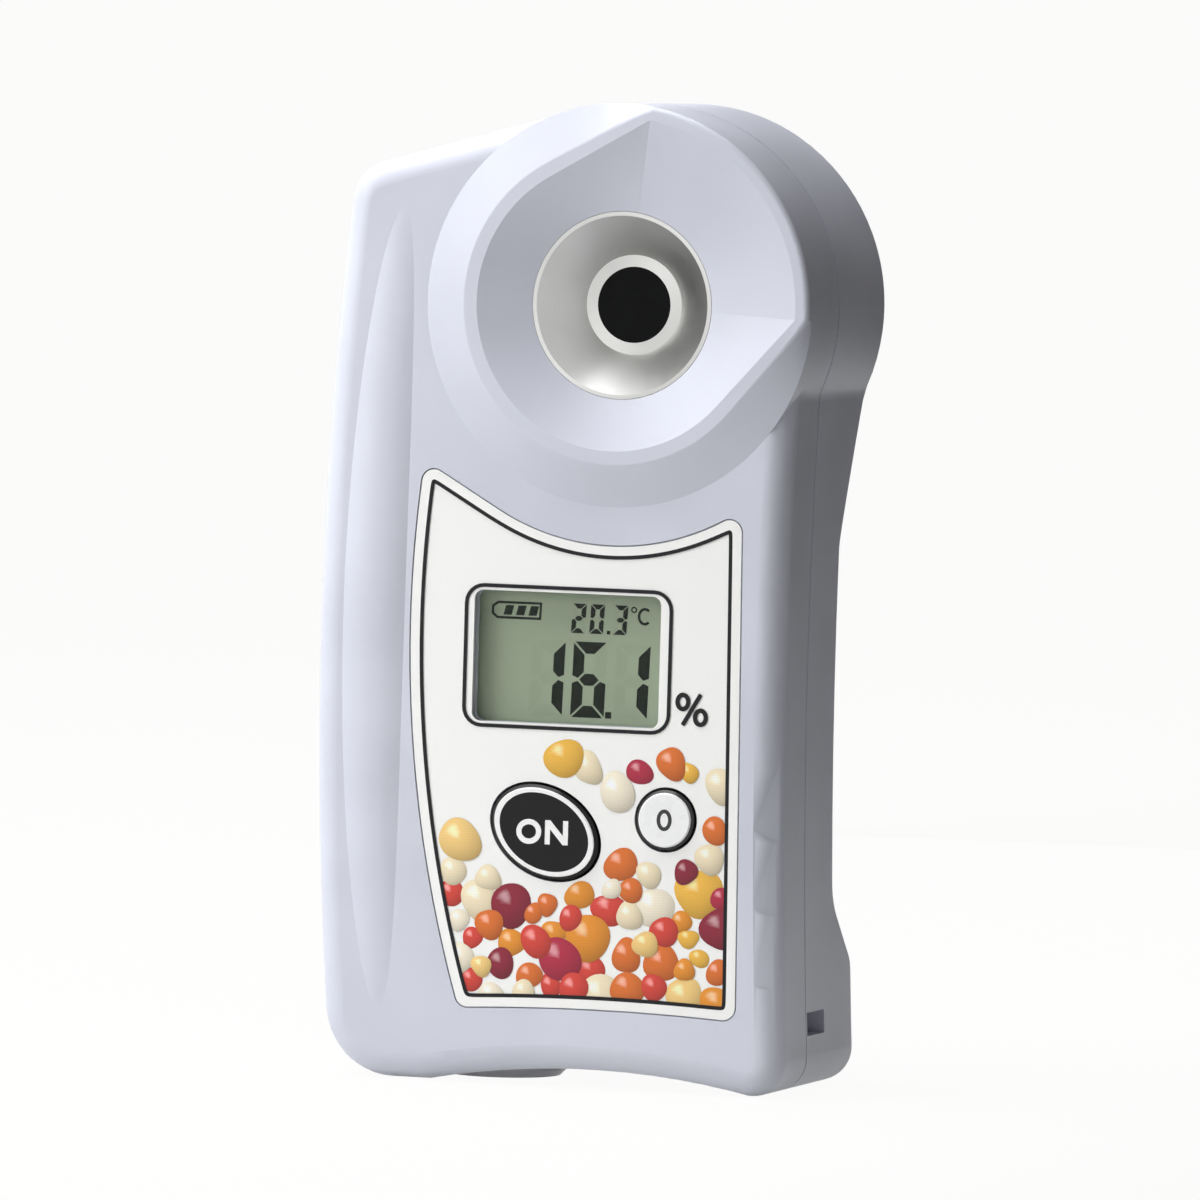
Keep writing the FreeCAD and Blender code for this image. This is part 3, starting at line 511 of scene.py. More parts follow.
class REFRACTOMETER_OT_housing(bpy.types.Operator):
    """Moulded ABS on both housing halves and the battery cap"""

    bl_idname = "refractometer.housing"
    bl_label = "Housing"

    def execute(self, context):
        shell = context.scene.refractometer_shell
        satin = (shell.gloss, shell.grain)
        halves = ("front_case", "rear_case")
        dress(moulded_abs("housing_abs_spark_eroded", shell.colour, shell.shade, *satin), *halves)
        for node in halves:
            self.close_folds(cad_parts[node])
            # Normals weighted by face area keep flat faces flat beside the moulded rounds
            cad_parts[node].modifiers.new("even_shading", "WEIGHTED_NORMAL").keep_sharp = True
        cap = shell.cap_colour
        dress(moulded_abs("cap_abs_moulded", cap, toned(cap, 0.95), *satin), "battery_cap")
        # Black silicone, compression moulded: dull, with no highlight to speak of
        gasket = speckled("silicone_gasket_moulded", ("#3B3C40", "#2C2D31"), 2.0, 0.62, ior=1.41, grain=0.2)
        dress(gasket, "case_seal", "stage_seal", "window_seal", "prism_seal", "cap_seal")
        return {"FINISHED"}

    def close_folds(self, shell):
        """Welds the corners of slivers that the tessellation folded back on their neighbours."""
        mesh = shell.data
        places = [spot(vertex.co) for vertex in mesh.vertices]
        beside = {}
        for polygon in mesh.polygons:
            for ends in pairs([places[v] for v in polygon.vertices]):
                beside.setdefault(frozenset(ends), []).append(polygon)
        folded = set()
        for faces in beside.values():
            if len(faces) == 2 and faces[0].normal.dot(faces[1].normal) < FOLD_COSINE:
                small = min(faces, key=lambda polygon: polygon.area)
                if small.area < SLIVER_AREA:
                    folded.update(places[v] for v in small.vertices)
        if not folded:
            return
        corners = shell.vertex_groups.new(name="folded_slivers")
        corners.add([i for i, place in enumerate(places) if place in folded], 1.0, "REPLACE")
        weld = shell.modifiers.new("closed_folds", "WELD")
        weld.vertex_group, weld.merge_threshold = corners.name, SLIVER_REACH


class REFRACTOMETER_OT_sample_stage(bpy.types.Operator):
    """Turned steel sample stage with its nut, prism and optics"""

    bl_idname = "refractometer.sample_stage"
    bl_label = "Sample stage"

    def execute(self, context):
        stage = context.scene.refractometer_stage
        # The rings are drawn coarser than a tool leaves them, so that they show
        steel = turned_steel("stage_stainless_turned", stage.steel, stage.turning, stage.gloss, STAGE_MIDDLE)
        dress(steel, "sample_stage", "stage_nut")
        prism = polished_glass("prism_optical_glass_polished", stage.prism, 0.04, ior=1.62, gleam=0.05)
        dress(prism, "prism")
        dress(polished_glass("lens_crown_glass_polished", linear("#9FB6BE"), 0.03, ior=1.52), "focusing_lens")
        # Glass filled polycarbonate, moulded and left matt so that it throws no stray light
        matt = speckled("optics_polycarbonate_matt", ("#17181A", "#1F2023"), 5.0, 0.55, ior=1.58, grain=0.25)
        dress(matt, "optics_block", "lens_ring", "lcd_frame", "start_plunger", "zero_plunger")
        # Clear epoxy cast over the lamp: pale yellow, smooth and wet looking
        dress(speckled("led_epoxy_cast", ("#F2E7B8", "#F7EFCB"), 1.5, 0.16, relief=0.02), "lamp_led")
        # A bead dipped in epoxy: dark blue and glossy
        dress(speckled("sensor_bead_dipped", ("#2B3A63", "#23304F"), 1.0, 0.3), "temperature_sensor")
        # Epoxy moulded round a chip: near black with a low sheen
        dress(speckled("sensor_epoxy_moulded", ("#1A1B1E", "#26272B"), 1.2, 0.35), "image_sensor")
        return {"FINISHED"}


def film_outline():
    """The outline of the label film's front face, as (x, z) points in order."""
    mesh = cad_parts["overlay_film"].data
    uses, place = {}, {}
    for polygon in mesh.polygons:
        corners = [mesh.vertices[v].co for v in polygon.vertices]
        if any(abs(corner.y - FILM_FACE) >= MICRON for corner in corners):
            continue
        points = [(corner.x, corner.z) for corner in corners]
        keys = [spot(point) for point in points]
        place.update(zip(keys, points))
        for ends in pairs(keys):
            uses[frozenset(ends)] = uses.get(frozenset(ends), 0) + 1
    beside = {}
    for edge, count in uses.items():
        if count == 1 and len(edge) == 2:
            a, b = edge
            beside.setdefault(a, []).append(b)
            beside.setdefault(b, []).append(a)
    loops = []
    left = set(beside)
    while left:
        loop = [left.pop()]
        while onward := [key for key in beside[loop[-1]] if key in left]:
            loop.append(onward[0])
            left.discard(onward[0])
        loops.append([place[key] for key in loop])
    if not loops:
        raise RuntimeError("the label film has no outline on its front face")
    return max(loops, key=lambda loop: max(p[1] for p in loop) - min(p[1] for p in loop))


def even_steps(loop, step):
    """A closed line with points about a step apart, running anticlockwise."""
    if sum(a[0] * b[1] - b[0] * a[1] for a, b in pairs(loop)) < 0:
        loop = loop[::-1]
    points = []
    for a, b in pairs([Vector(p) for p in loop]):
        parts = max(1, round((b - a).length / step))
        points += [tuple(a.lerp(b, i / parts)) for i in range(parts)]
    return points


def inside(x, z, loop):
    """Whether a point lies within a closed line."""
    found = False
    for (ax, az), (bx, bz) in pairs(loop):
        if (az > z) != (bz > z) and x < ax + (z - az) / (bz - az) * (bx - ax):
            found = not found
    return found


def inset_line(loop, inset, rounding):
    """A closed line moved inwards, its corners eased by as many passes as rounding says."""
    count = len(loop)
    points = []
    for i, point in enumerate(loop):
        along = (Vector(loop[(i + 1) % count]) - Vector(loop[i - 1])).normalized()
        points.append(Vector(point) + Vector((-along.y, along.x)) * inset)
    for _ in range(rounding):
        points = [(points[i - 1] + points[(i + 1) % count]) / 4 + points[i] / 2 for i in range(count)]
    return [tuple(p) for p in points]


def rounded_frame(x0, x1, z0, z1, r):
    """A closed line round a rectangle with rounded corners."""
    corners = ((x1 - r, z0 + r, -90), (x1 - r, z1 - r, 0), (x0 + r, z1 - r, 90), (x0 + r, z0 + r, 180))
    turns = [(x, z, math.radians(start + 15 * i)) for x, z, start in corners for i in range(7)]
    return [(x + r * math.cos(a), z + r * math.sin(a)) for x, z, a in turns]


# The percent sign on the label, in millimetres
PERCENT_RINGS = ((14.72, 43.1), (16.78, 41.45))
PERCENT_RING_HALF = (0.62, 0.78)
PERCENT_BAR = ((14.75, 40.55), (16.75, 44.0))
PERCENT_RING_STROKE, PERCENT_BAR_STROKE = 0.5, 0.48

PEBBLE_INKS = (
    "#E9952F", "#F2BC4B", "#D8463A", "#8E2338", "#F5E6C4", "#E0742F", "#B42A46", "#F6D084", "#F9EFD8",
)
PEBBLE_TRIES = 20000
PEBBLE_RADII = (1.2, 2.8)
PEBBLE_FOOT, PEBBLE_TOP = 9.5 * MM, 36.5 * MM
DRIFT_FOOT, DRIFT_RISE = 9 * MM, 27 * MM
PEBBLE_RINGS = (0.0, 0.35, 0.62, 0.82, 0.94, 1.0)
PEBBLE_SIDES = 28


class REFRACTOMETER_OT_label(bpy.types.Operator):
    """Printed label film: border line, display frame, percent sign and a drift of coloured pebbles"""

    bl_idname = "refractometer.label"
    bl_label = "Label"

    def execute(self, context):
        label = context.scene.refractometer_label
        ground = label.ground
        white = printed_film("label_polycarbonate_white_print", ground, 0.30)
        black = printed_film("label_polycarbonate_black_print", label.ink, 0.30, gleam=0.2)
        colours = printed_film("label_polycarbonate_colour_print", ground, 0.30, ink_layer=True, gleam=0.3)
        dress(white, "overlay_film")
        outline = even_steps(film_outline(), step=0.4 * MM)
        border = inset_line(outline, label.border_inset, rounding=34)
        self.pebble_print(label, border, colours)
        # The white margin covers what runs over the border line, as the printer's trim does
        margin = inset_line(outline, 0.02 * MM, rounding=0)
        rim = [[a, b, d, c] for (a, b), (c, d) in zip(pairs(margin), pairs(border))]
        margin_level, black_level = FILM_FACE - 0.085 * MM, FILM_FACE - 0.09 * MM
        print_shapes("label_margin", rim, margin_level, white, "case")
        for name, line in (("label_border", border), ("display_frame_line", self.frame_line())):
            print_shapes(name, stroke(line, label.border_width, True), black_level, black, "case")
        print_shapes("percent_sign", self.percent_sign(), black_level, black, "case")
        return {"FINISHED"}

    def frame_line(self):
        """The line round the display, a little inside the window's edge except on the right."""
        low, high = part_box("display_window")
        return rounded_frame(low.x + 0.3 * MM, high.x, low.z + 0.75 * MM, high.z - 0.7 * MM, 2.0 * MM)

    def percent_sign(self):
        half_width, half_height = PERCENT_RING_HALF
        shapes = []
        for x, z in PERCENT_RINGS:
            ring = oval(x * MM, z * MM, half_width * MM, half_height * MM, count=28)
            shapes += stroke(ring, PERCENT_RING_STROKE * MM, True)
        return shapes + stroke(metres(PERCENT_BAR), PERCENT_BAR_STROKE * MM)

    def pebble_print(self, label, border, finish):
        """Soft shaded pebbles that drift in from the lower right and thin out to the upper left."""
        chance = random.Random(label.seed)
        placed = self.pebble_places(label.pebbles, border, chance)
        flat = bmesh.new()
        inks = flat.verts.layers.float_color.new("print_ink")
        for i, pebble in enumerate(placed):
            # Each lies a little in front of the one before it
            level = FILM_FACE - (0.01 + 0.07 * i / max(1, len(placed))) * MM
            colour = Vector(linear(chance.choice(PEBBLE_INKS))[:3])
            self.one_pebble(flat, inks, pebble, level, colour, chance, border)
        make_print("label_pebbles", flat, finish, "case")

    def pebble_places(self, count, border, chance):
        """Middles and radii of pebbles inside the border, clear of the keys and not too close together."""
        x0, x1 = min(p[0] for p in border), max(p[0] for p in border)
        # Each key with the half width and half height of the oval that stays bare round it
        keys = ((START_MIDDLE, 7.3 * MM, 5.6 * MM), (ZERO_MIDDLE, 3.9 * MM, 3.9 * MM))
        placed = []
        for _ in range(PEBBLE_TRIES):
            if len(placed) >= count:
                break
            x, z = chance.uniform(x0, x1), chance.uniform(PEBBLE_FOOT, PEBBLE_TOP)
            r = chance.uniform(*PEBBLE_RADII) * MM
            across, up = (x - x0) / (x1 - x0), (z - DRIFT_FOOT) / DRIFT_RISE
            # The share that stays falls with height, faster on the left, and is highest near the middle
            drift = 1.15 - up * (1.55 - 0.9 * across) - 0.35 * math.sin(6.0 * across + 2.2)
            if chance.random() > drift or not inside(x, z, border):
                continue
            if any(((x - m.x) / (a + r)) ** 2 + ((z - m.z) / (b + r)) ** 2 < 1 for m, a, b in keys):
                continue
            # Two may overlap by about a third
            if all((x - px) ** 2 + (z - pz) ** 2 >= (0.64 * (r + pr)) ** 2 for px, pz, pr in placed):
                placed.append((x, z, r))
        return placed

    def trimmed(self, x, z, px, pz, border):
        """The point itself, or the last one inside the border on the way to it from the pebble's middle."""
        if inside(px, pz, border):
            return px, pz
        near, far = 0.0, 1.0
        for _ in range(7):
            half = (near + far) / 2
            if inside(x + (px - x) * half, z + (pz - z) * half, border):
                near = half
            else:
                far = half
        return x + (px - x) * near, z + (pz - z) * near

    def one_pebble(self, flat, inks, pebble, level, colour, chance, border):
        """Rings of corners from the middle out, each with its ink, joined by faces."""
        x, z, r = pebble
        turn, long = chance.uniform(0, math.pi), chance.uniform(0.78, 1.0)
        wobble, phase = chance.uniform(0.02, 0.09), chance.uniform(0, 6.28)
        rows = []
        for t in PEBBLE_RINGS:
            row = []
            for k in range(PEBBLE_SIDES if t else 1):
                a = 2 * math.pi * k / PEBBLE_SIDES
                reach = r * t * (1 + wobble * math.cos(3 * a + phase))
                u, w = reach * math.cos(a), reach * long * math.sin(a)
                px = x + u * math.cos(turn) - w * math.sin(turn)
                pz = z + u * math.sin(turn) + w * math.cos(turn)
                kept_x, kept_z = self.trimmed(x, z, px, pz, border)
                vertex = flat.verts.new((kept_x, level, kept_z))
                # Printed as if lit from the upper left, with a darker rim and a soft gleam
                side = ((px - x) * -0.6 + (pz - z) * 0.8) / r
                light = 0.98 + 0.28 * side - 0.18 * t * t
                gleam = max(0.0, 1 - ((px - x + 0.3 * r) ** 2 + (pz - z - 0.38 * r) ** 2) / (0.3 * r) ** 2)
                shown = colour * max(0.12, light) + Vector((1, 1, 1)) * 0.4 * gleam
                vertex[inks] = (min(1, shown.x), min(1, shown.y), min(1, shown.z), 1)
                row.append(vertex)
            rows.append(row)
        for a, b in pairs(rows[1]):
            flat.faces.new((rows[0][0], a, b))
        for inner, outer in zip(rows[1:], rows[2:]):
            for (a, b), (c, d) in zip(pairs(inner), pairs(outer)):
                flat.faces.new((a, c, d, b))


SEGMENTS_ON = {"0": "abcdef", "1": "bc", "2": "abged", "3": "abgcd", "6": "afgedc"}

# Places on the display, in millimetres: the foot of each row, and the left edge of each figure
READING_FOOT, TEMPERATURE_FOOT = 40.76, 50.03
READING = ((-3.86, "1"), (1.0, "6"), (5.98, "1"))
TEMPERATURE = ((0.83, "2"), (2.95, "0"), (5.65, "3"))
READING_LEAN, TEMPERATURE_LEAN = 0.03, 0.055
# Left edge, foot and width of each decimal point
DECIMAL_POINTS = ((5.06, READING_FOOT, 0.72), (5.0, TEMPERATURE_FOOT, 0.4))
DEGREE_MIDDLE, DEGREE_RADIUS, DEGREE_STROKE = (8.08, 52.85), 0.27, 0.16
CELSIUS_MIDDLE, CELSIUS_HALF, CELSIUS_STROKE = (9.35, 52.15), (0.68, 0.82), 0.3
BATTERY_OUTLINE = (
    (-7.72, 51.42), (-2.78, 51.42), (-2.70, 53.1), (-7.66, 53.1), (-8.26, 52.68), (-8.28, 51.88),
)
BATTERY_STROKE = 0.27
BATTERY_BARS = (-7.05, -5.6, -4.15)
BAR_FOOT, BAR_TOP, BAR_WIDTH, BAR_LEAN = 51.72, 52.8, 0.95, 0.3


def digit_segments(x, z, width, height, thick, lean):
    """The seven segments of a digit, by letter, each as corners."""
    gap, half = thick * 0.12, thick / 2
    x1, z1, middle = x + width, z + height, z + height / 2
    left, right = x + thick + gap, x1 - thick - gap
    shapes = {
        "a": [(x + gap, z1), (left, z1 - thick), (right, z1 - thick), (x1 - gap, z1)],
        "d": [(x + gap, z), (x1 - gap, z), (right, z + thick), (left, z + thick)],
        "g": [
            (x + half + gap, middle), (left, middle - half), (right, middle - half),
            (x1 - half - gap, middle), (right, middle + half), (left, middle + half),
        ],
        "f": [
            (x, z1 - gap), (x, middle + gap + half * 0.4), (x + half, middle + gap),
            (x + thick, middle + half + gap), (x + thick, z1 - thick - gap),
        ],
        "e": [
            (x, z + gap), (x + thick, z + thick + gap), (x + thick, middle - half - gap),
            (x + half, middle - gap), (x, middle - gap - half * 0.4),
        ],
    }
    shapes["b"] = [(x + x1 - px, pz) for px, pz in shapes["f"]]
    shapes["c"] = [(x + x1 - px, pz) for px, pz in shapes["e"]]
    return {key: [(px + (pz - z) * lean, pz) for px, pz in shape] for key, shape in shapes.items()}


class REFRACTOMETER_OT_display(bpy.types.Operator):
    """Liquid crystal display with its reading, idle segments, battery sign and clear window"""

    bl_idname = "refractometer.display"
    bl_label = "Display"

    def execute(self, context):
        display = context.scene.refractometer_display
        dress(cast_acrylic("window_acrylic_cast", linear("#8A918C"), 0.03), "display_window")
        dress(display_glass("display_glass_polarised", display.ground, 0.42), "lcd_glass")
        on = display_glass("display_segment_on", display.segment, 0.42, 0.1)
        idle = display_glass("display_segment_idle", display.idle, 0.42)
        # Embossed film behind the cell: pale and matt
        dress(speckled("reflector_film_matt", ("#C9CDC4", "#D3D6CE"), 4.0, 0.5), "lcd_reflector")
        # Silicone rubber in layers, each second one filled with carbon: fine dark bands, dull
        layers = ("#26272B", "#C8C9C6")
        dress(banded("connector_rubber_layered", layers, (0, 0, 0), 0.4 * MM, "X", 0.6), "zebra_strips")
        lit, unlit = self.figures(display)
        lit += self.decimal_points() + self.degree_sign() + self.battery_sign()
        print_shapes("display_segments_idle", unlit, LCD_FACE - 0.005 * MM, idle, "case")
        print_shapes("display_segments_on", lit, LCD_FACE - 0.01 * MM, on, "case")
        return {"FINISHED"}

    def figures(self, display):
        """The segments of all digits, those that are on and those that are off."""
        large = (display.digit_width, display.digit_height, display.stroke, READING_LEAN)
        small = (display.small_width, display.small_height, display.small_stroke, TEMPERATURE_LEAN)
        lit, unlit = [], []
        for row, foot, form in ((READING, READING_FOOT, large), (TEMPERATURE, TEMPERATURE_FOOT, small)):
            for x, figure in row:
                for letter, shape in digit_segments(x * MM, foot * MM, *form).items():
                    (lit if letter in SEGMENTS_ON[figure] else unlit).append(shape)
        return lit, unlit

    def decimal_points(self):
        return [metres([(x, z), (x + w, z), (x + w, z + w), (x, z + w)]) for x, z, w in DECIMAL_POINTS]

    def degree_sign(self):
        """A small ring and the letter C."""
        x, z = DEGREE_MIDDLE
        radius = DEGREE_RADIUS * MM
        ring = stroke(oval(x * MM, z * MM, radius, radius, count=20), DEGREE_STROKE * MM, True)
        x, z = CELSIUS_MIDDLE
        half_width, half_height = CELSIUS_HALF
        turns = [math.radians(a) for a in range(48, 313, 12)]
        curve = [(x + half_width * math.cos(a), z + half_height * math.sin(a)) for a in turns]
        return ring + stroke(metres(curve), CELSIUS_STROKE * MM)

    def battery_sign(self):
        """A battery's outline with three leaning bars."""
        form = ((0, BAR_FOOT), (BAR_WIDTH, BAR_FOOT), (BAR_WIDTH + BAR_LEAN, BAR_TOP), (BAR_LEAN, BAR_TOP))
        bars = [metres([(left + x, z) for x, z in form]) for left in BATTERY_BARS]
        return stroke(metres(BATTERY_OUTLINE), BATTERY_STROKE * MM, True) + bars


# Half width and half height of each key's outline, and how far the large one is turned
START_HALF, START_TURN = (6.5 * MM, 4.8 * MM), math.radians(27)
ZERO_HALF = (3.3 * MM, 3.3 * MM)
# The word on the large key and the figure on the small one, from the middle of the key
LETTER_O_MIDDLE, LETTER_O_HALF, LETTER_STROKE = -1.75 * MM, (1.15 * MM, 1.08 * MM), 0.6 * MM
LETTER_N_LEFT, LETTER_N_RIGHT, LETTER_N_HALF_HEIGHT, LETTER_N_BEND = 0.42 * MM, 2.5 * MM, 1.34 * MM, 1.0 * MM
FIGURE_HALF, FIGURE_STROKE = (0.66 * MM, 0.98 * MM), 0.42 * MM


class REFRACTOMETER_OT_keys(bpy.types.Operator):
    """Black and white key caps with their printed rings and plain legends"""

    bl_idname = "refractometer.keys"
    bl_label = "Keys"

    def execute(self, context):
        keys = context.scene.refractometer_keys
        black_key = ringed_key(
            "key_polycarbonate_black_gloss", START_MIDDLE, START_HALF, START_TURN,
            inks=(keys.dark, keys.ring, keys.dark), ring_width=keys.ring_width, edge_width=keys.edge_width,
            roughness=0.24, gleam=0.2,
        )
        white_key = ringed_key(
            "key_polycarbonate_white_gloss", ZERO_MIDDLE, ZERO_HALF, turn=0.0,
            inks=(keys.pale, keys.pale, keys.dark), ring_width=0.1 * MM, edge_width=keys.edge_width,
            roughness=0.28, gleam=0.4,
        )
        dress(black_key, "start_key")
        dress(white_key, "zero_key")
        white = printed_film("key_legend_white_pad_print", keys.ring, 0.35)
        black = printed_film("key_legend_black_pad_print", keys.dark, 0.35)
        legend = self.word_on(START_MIDDLE.x, START_MIDDLE.z)
        print_shapes("start_key_legend", legend, START_FACE - 0.01 * MM, white, "start_key")
        figure = stroke(oval(ZERO_MIDDLE.x, ZERO_MIDDLE.z, *FIGURE_HALF, count=40), FIGURE_STROKE, True)
        print_shapes("zero_key_legend", figure, ZERO_FACE - 0.01 * MM, black, "zero_key")
        return {"FINISHED"}

    def word_on(self, x, z):
        """The letters O and N; the N is three strips that meet without overlap."""
        letter_o = stroke(oval(x + LETTER_O_MIDDLE, z, *LETTER_O_HALF, count=40), LETTER_STROKE, True)
        half, bend = LETTER_STROKE / 2, LETTER_N_BEND
        left, right = x + LETTER_N_LEFT, x + LETTER_N_RIGHT
        low, high = z - LETTER_N_HALF_HEIGHT, z + LETTER_N_HALF_HEIGHT
        inner_left, inner_right = left + half, right - half
        return letter_o + [
            [(left - half, low), (inner_left, low), (inner_left, high), (left - half, high)],
            [(inner_right, low), (right + half, low), (right + half, high), (inner_right, high)],
            [(inner_right, low), (inner_right, low + bend), (inner_left, high), (inner_left, high - bend)],
        ]


class REFRACTOMETER_OT_fasteners(bpy.types.Operator):
    """Zinc plated screws"""

    bl_idname = "refractometer.fasteners"
    bl_label = "Fasteners"

    def execute(self, context):
        # Steel, cold headed and zinc plated: bright, slightly blue, with a fine crystalline cloud
        zinc = speckled("screw_steel_zinc_plated", ("#B4B8BC", "#A4A8AD"), 0.8, 0.32, metallic=1.0, grain=0.2)
        dress(zinc, "case_screws", "optics_screws", "board_screws")
        return {"FINISHED"}


class REFRACTOMETER_OT_electronics(bpy.types.Operator):
    """Boards, chips, switches and the flexible strip"""

    bl_idname = "refractometer.electronics"
    bl_label = "Electronics"

    def execute(self, context):
        dress(circuit_board("board_glass_epoxy_green_mask"), "main_board", "lamp_board", "sensor_board")
        # Epoxy moulding compound: near black with a faint sparkle of its silica filler
        package = speckled("chip_epoxy_moulded", ("#1C1D20", "#2A2B2F"), 0.5, 0.48, grain=0.15)
        dress(package, "board_chips", "start_switch", "zero_switch")
        # Tantalum dipped in epoxy: ochre with a soft gloss
        dress(speckled("capacitor_tantalum_dipped", ("#C48A3A", "#B27B30"), 1.2, 0.38), "board_capacitors")
        # Polyimide laminated over copper: amber and glossy
        ambers = ("#B56A1E", "#9A5715")
        dress(banded("flex_polyimide_laminated", ambers, (0, 0, 0), 0.8 * MM, "X", 0.3), "sensor_flex")
        return {"FINISHED"}


class REFRACTOMETER_OT_power(bpy.types.Operator):
    """Cells, their tube and the spring contacts"""

    bl_idname = "refractometer.power"
    bl_label = "Power"

    def execute(self, context):
        low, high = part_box("battery_lower")
        # Heat shrunk sleeve round a steel can: glossy, in two tones
        repeat = (high.z - low.z) * 2.6
        wrap = banded("cell_sleeve_shrunk", ("#2A2E38", "#B98A3E"), (0, 0, low.z), repeat, "Z", 0.28)
        dress(wrap, "battery_lower", "battery_upper")
        # Polypropylene, moulded: milky and soft edged, with a waxy sheen
        tube = speckled("tube_polypropylene_moulded", ("#D9DBDD", "#E3E4E6"), 8.0, 0.42, ior=1.49)
        dress(tube, "battery_tube")
        # Spring steel, stamped and nickel plated: warm grey and bright
        greys = ("#C9C2B4", "#B8B1A3")
        nickel = speckled("contact_steel_nickel_plated", greys, 1.0, 0.26, metallic=1.0, grain=0.2)
        dress(nickel, "top_contact", "contact_strip", "cap_contact")
        return {"FINISHED"}


# Name, place and width of each soft light, in metres
LAMPS = (
    ("top_light", (-0.30, -0.08, 0.80), 0.90),
    ("key_light", (-0.55, -0.50, 0.30), 0.45),
    ("fill_light", (-0.20, -0.90, 0.20), 0.60),
)
LAMP_TARGET = (0, 0, 0.055)

# Name, radius, first and last angle from +X in degrees, and height of each dark card
CARDS = (
    ("studio_card_front", 0.60, -88, -60, 0.5),
    ("studio_card_flank", 0.42, 40, 105, 0.9),
)

# The room's tones from left to right, in linear values as light is added up
ROOM_TONES = (
    (0.0, (0.57, 0.58, 0.61, 1)),
    (0.5, (0.46, 0.46, 0.47, 1)),
    (0.68, (0.1, 0.093, 0.085, 1)),
    (1.0, (0.045, 0.041, 0.036, 1)),
)
PAPER_GLOW = (1.0, 1.0, 0.995, 1.0)
PAGE_GLOW = (0.98, 0.98, 0.975, 1)

# The middle of the object in metres; from there the picture's middle lies right and down, in millimetres
OBJECT_MIDDLE = (-0.0003, 0, 0.055)
PICTURE_RIGHT, PICTURE_DOWN = 0.52, 1.82


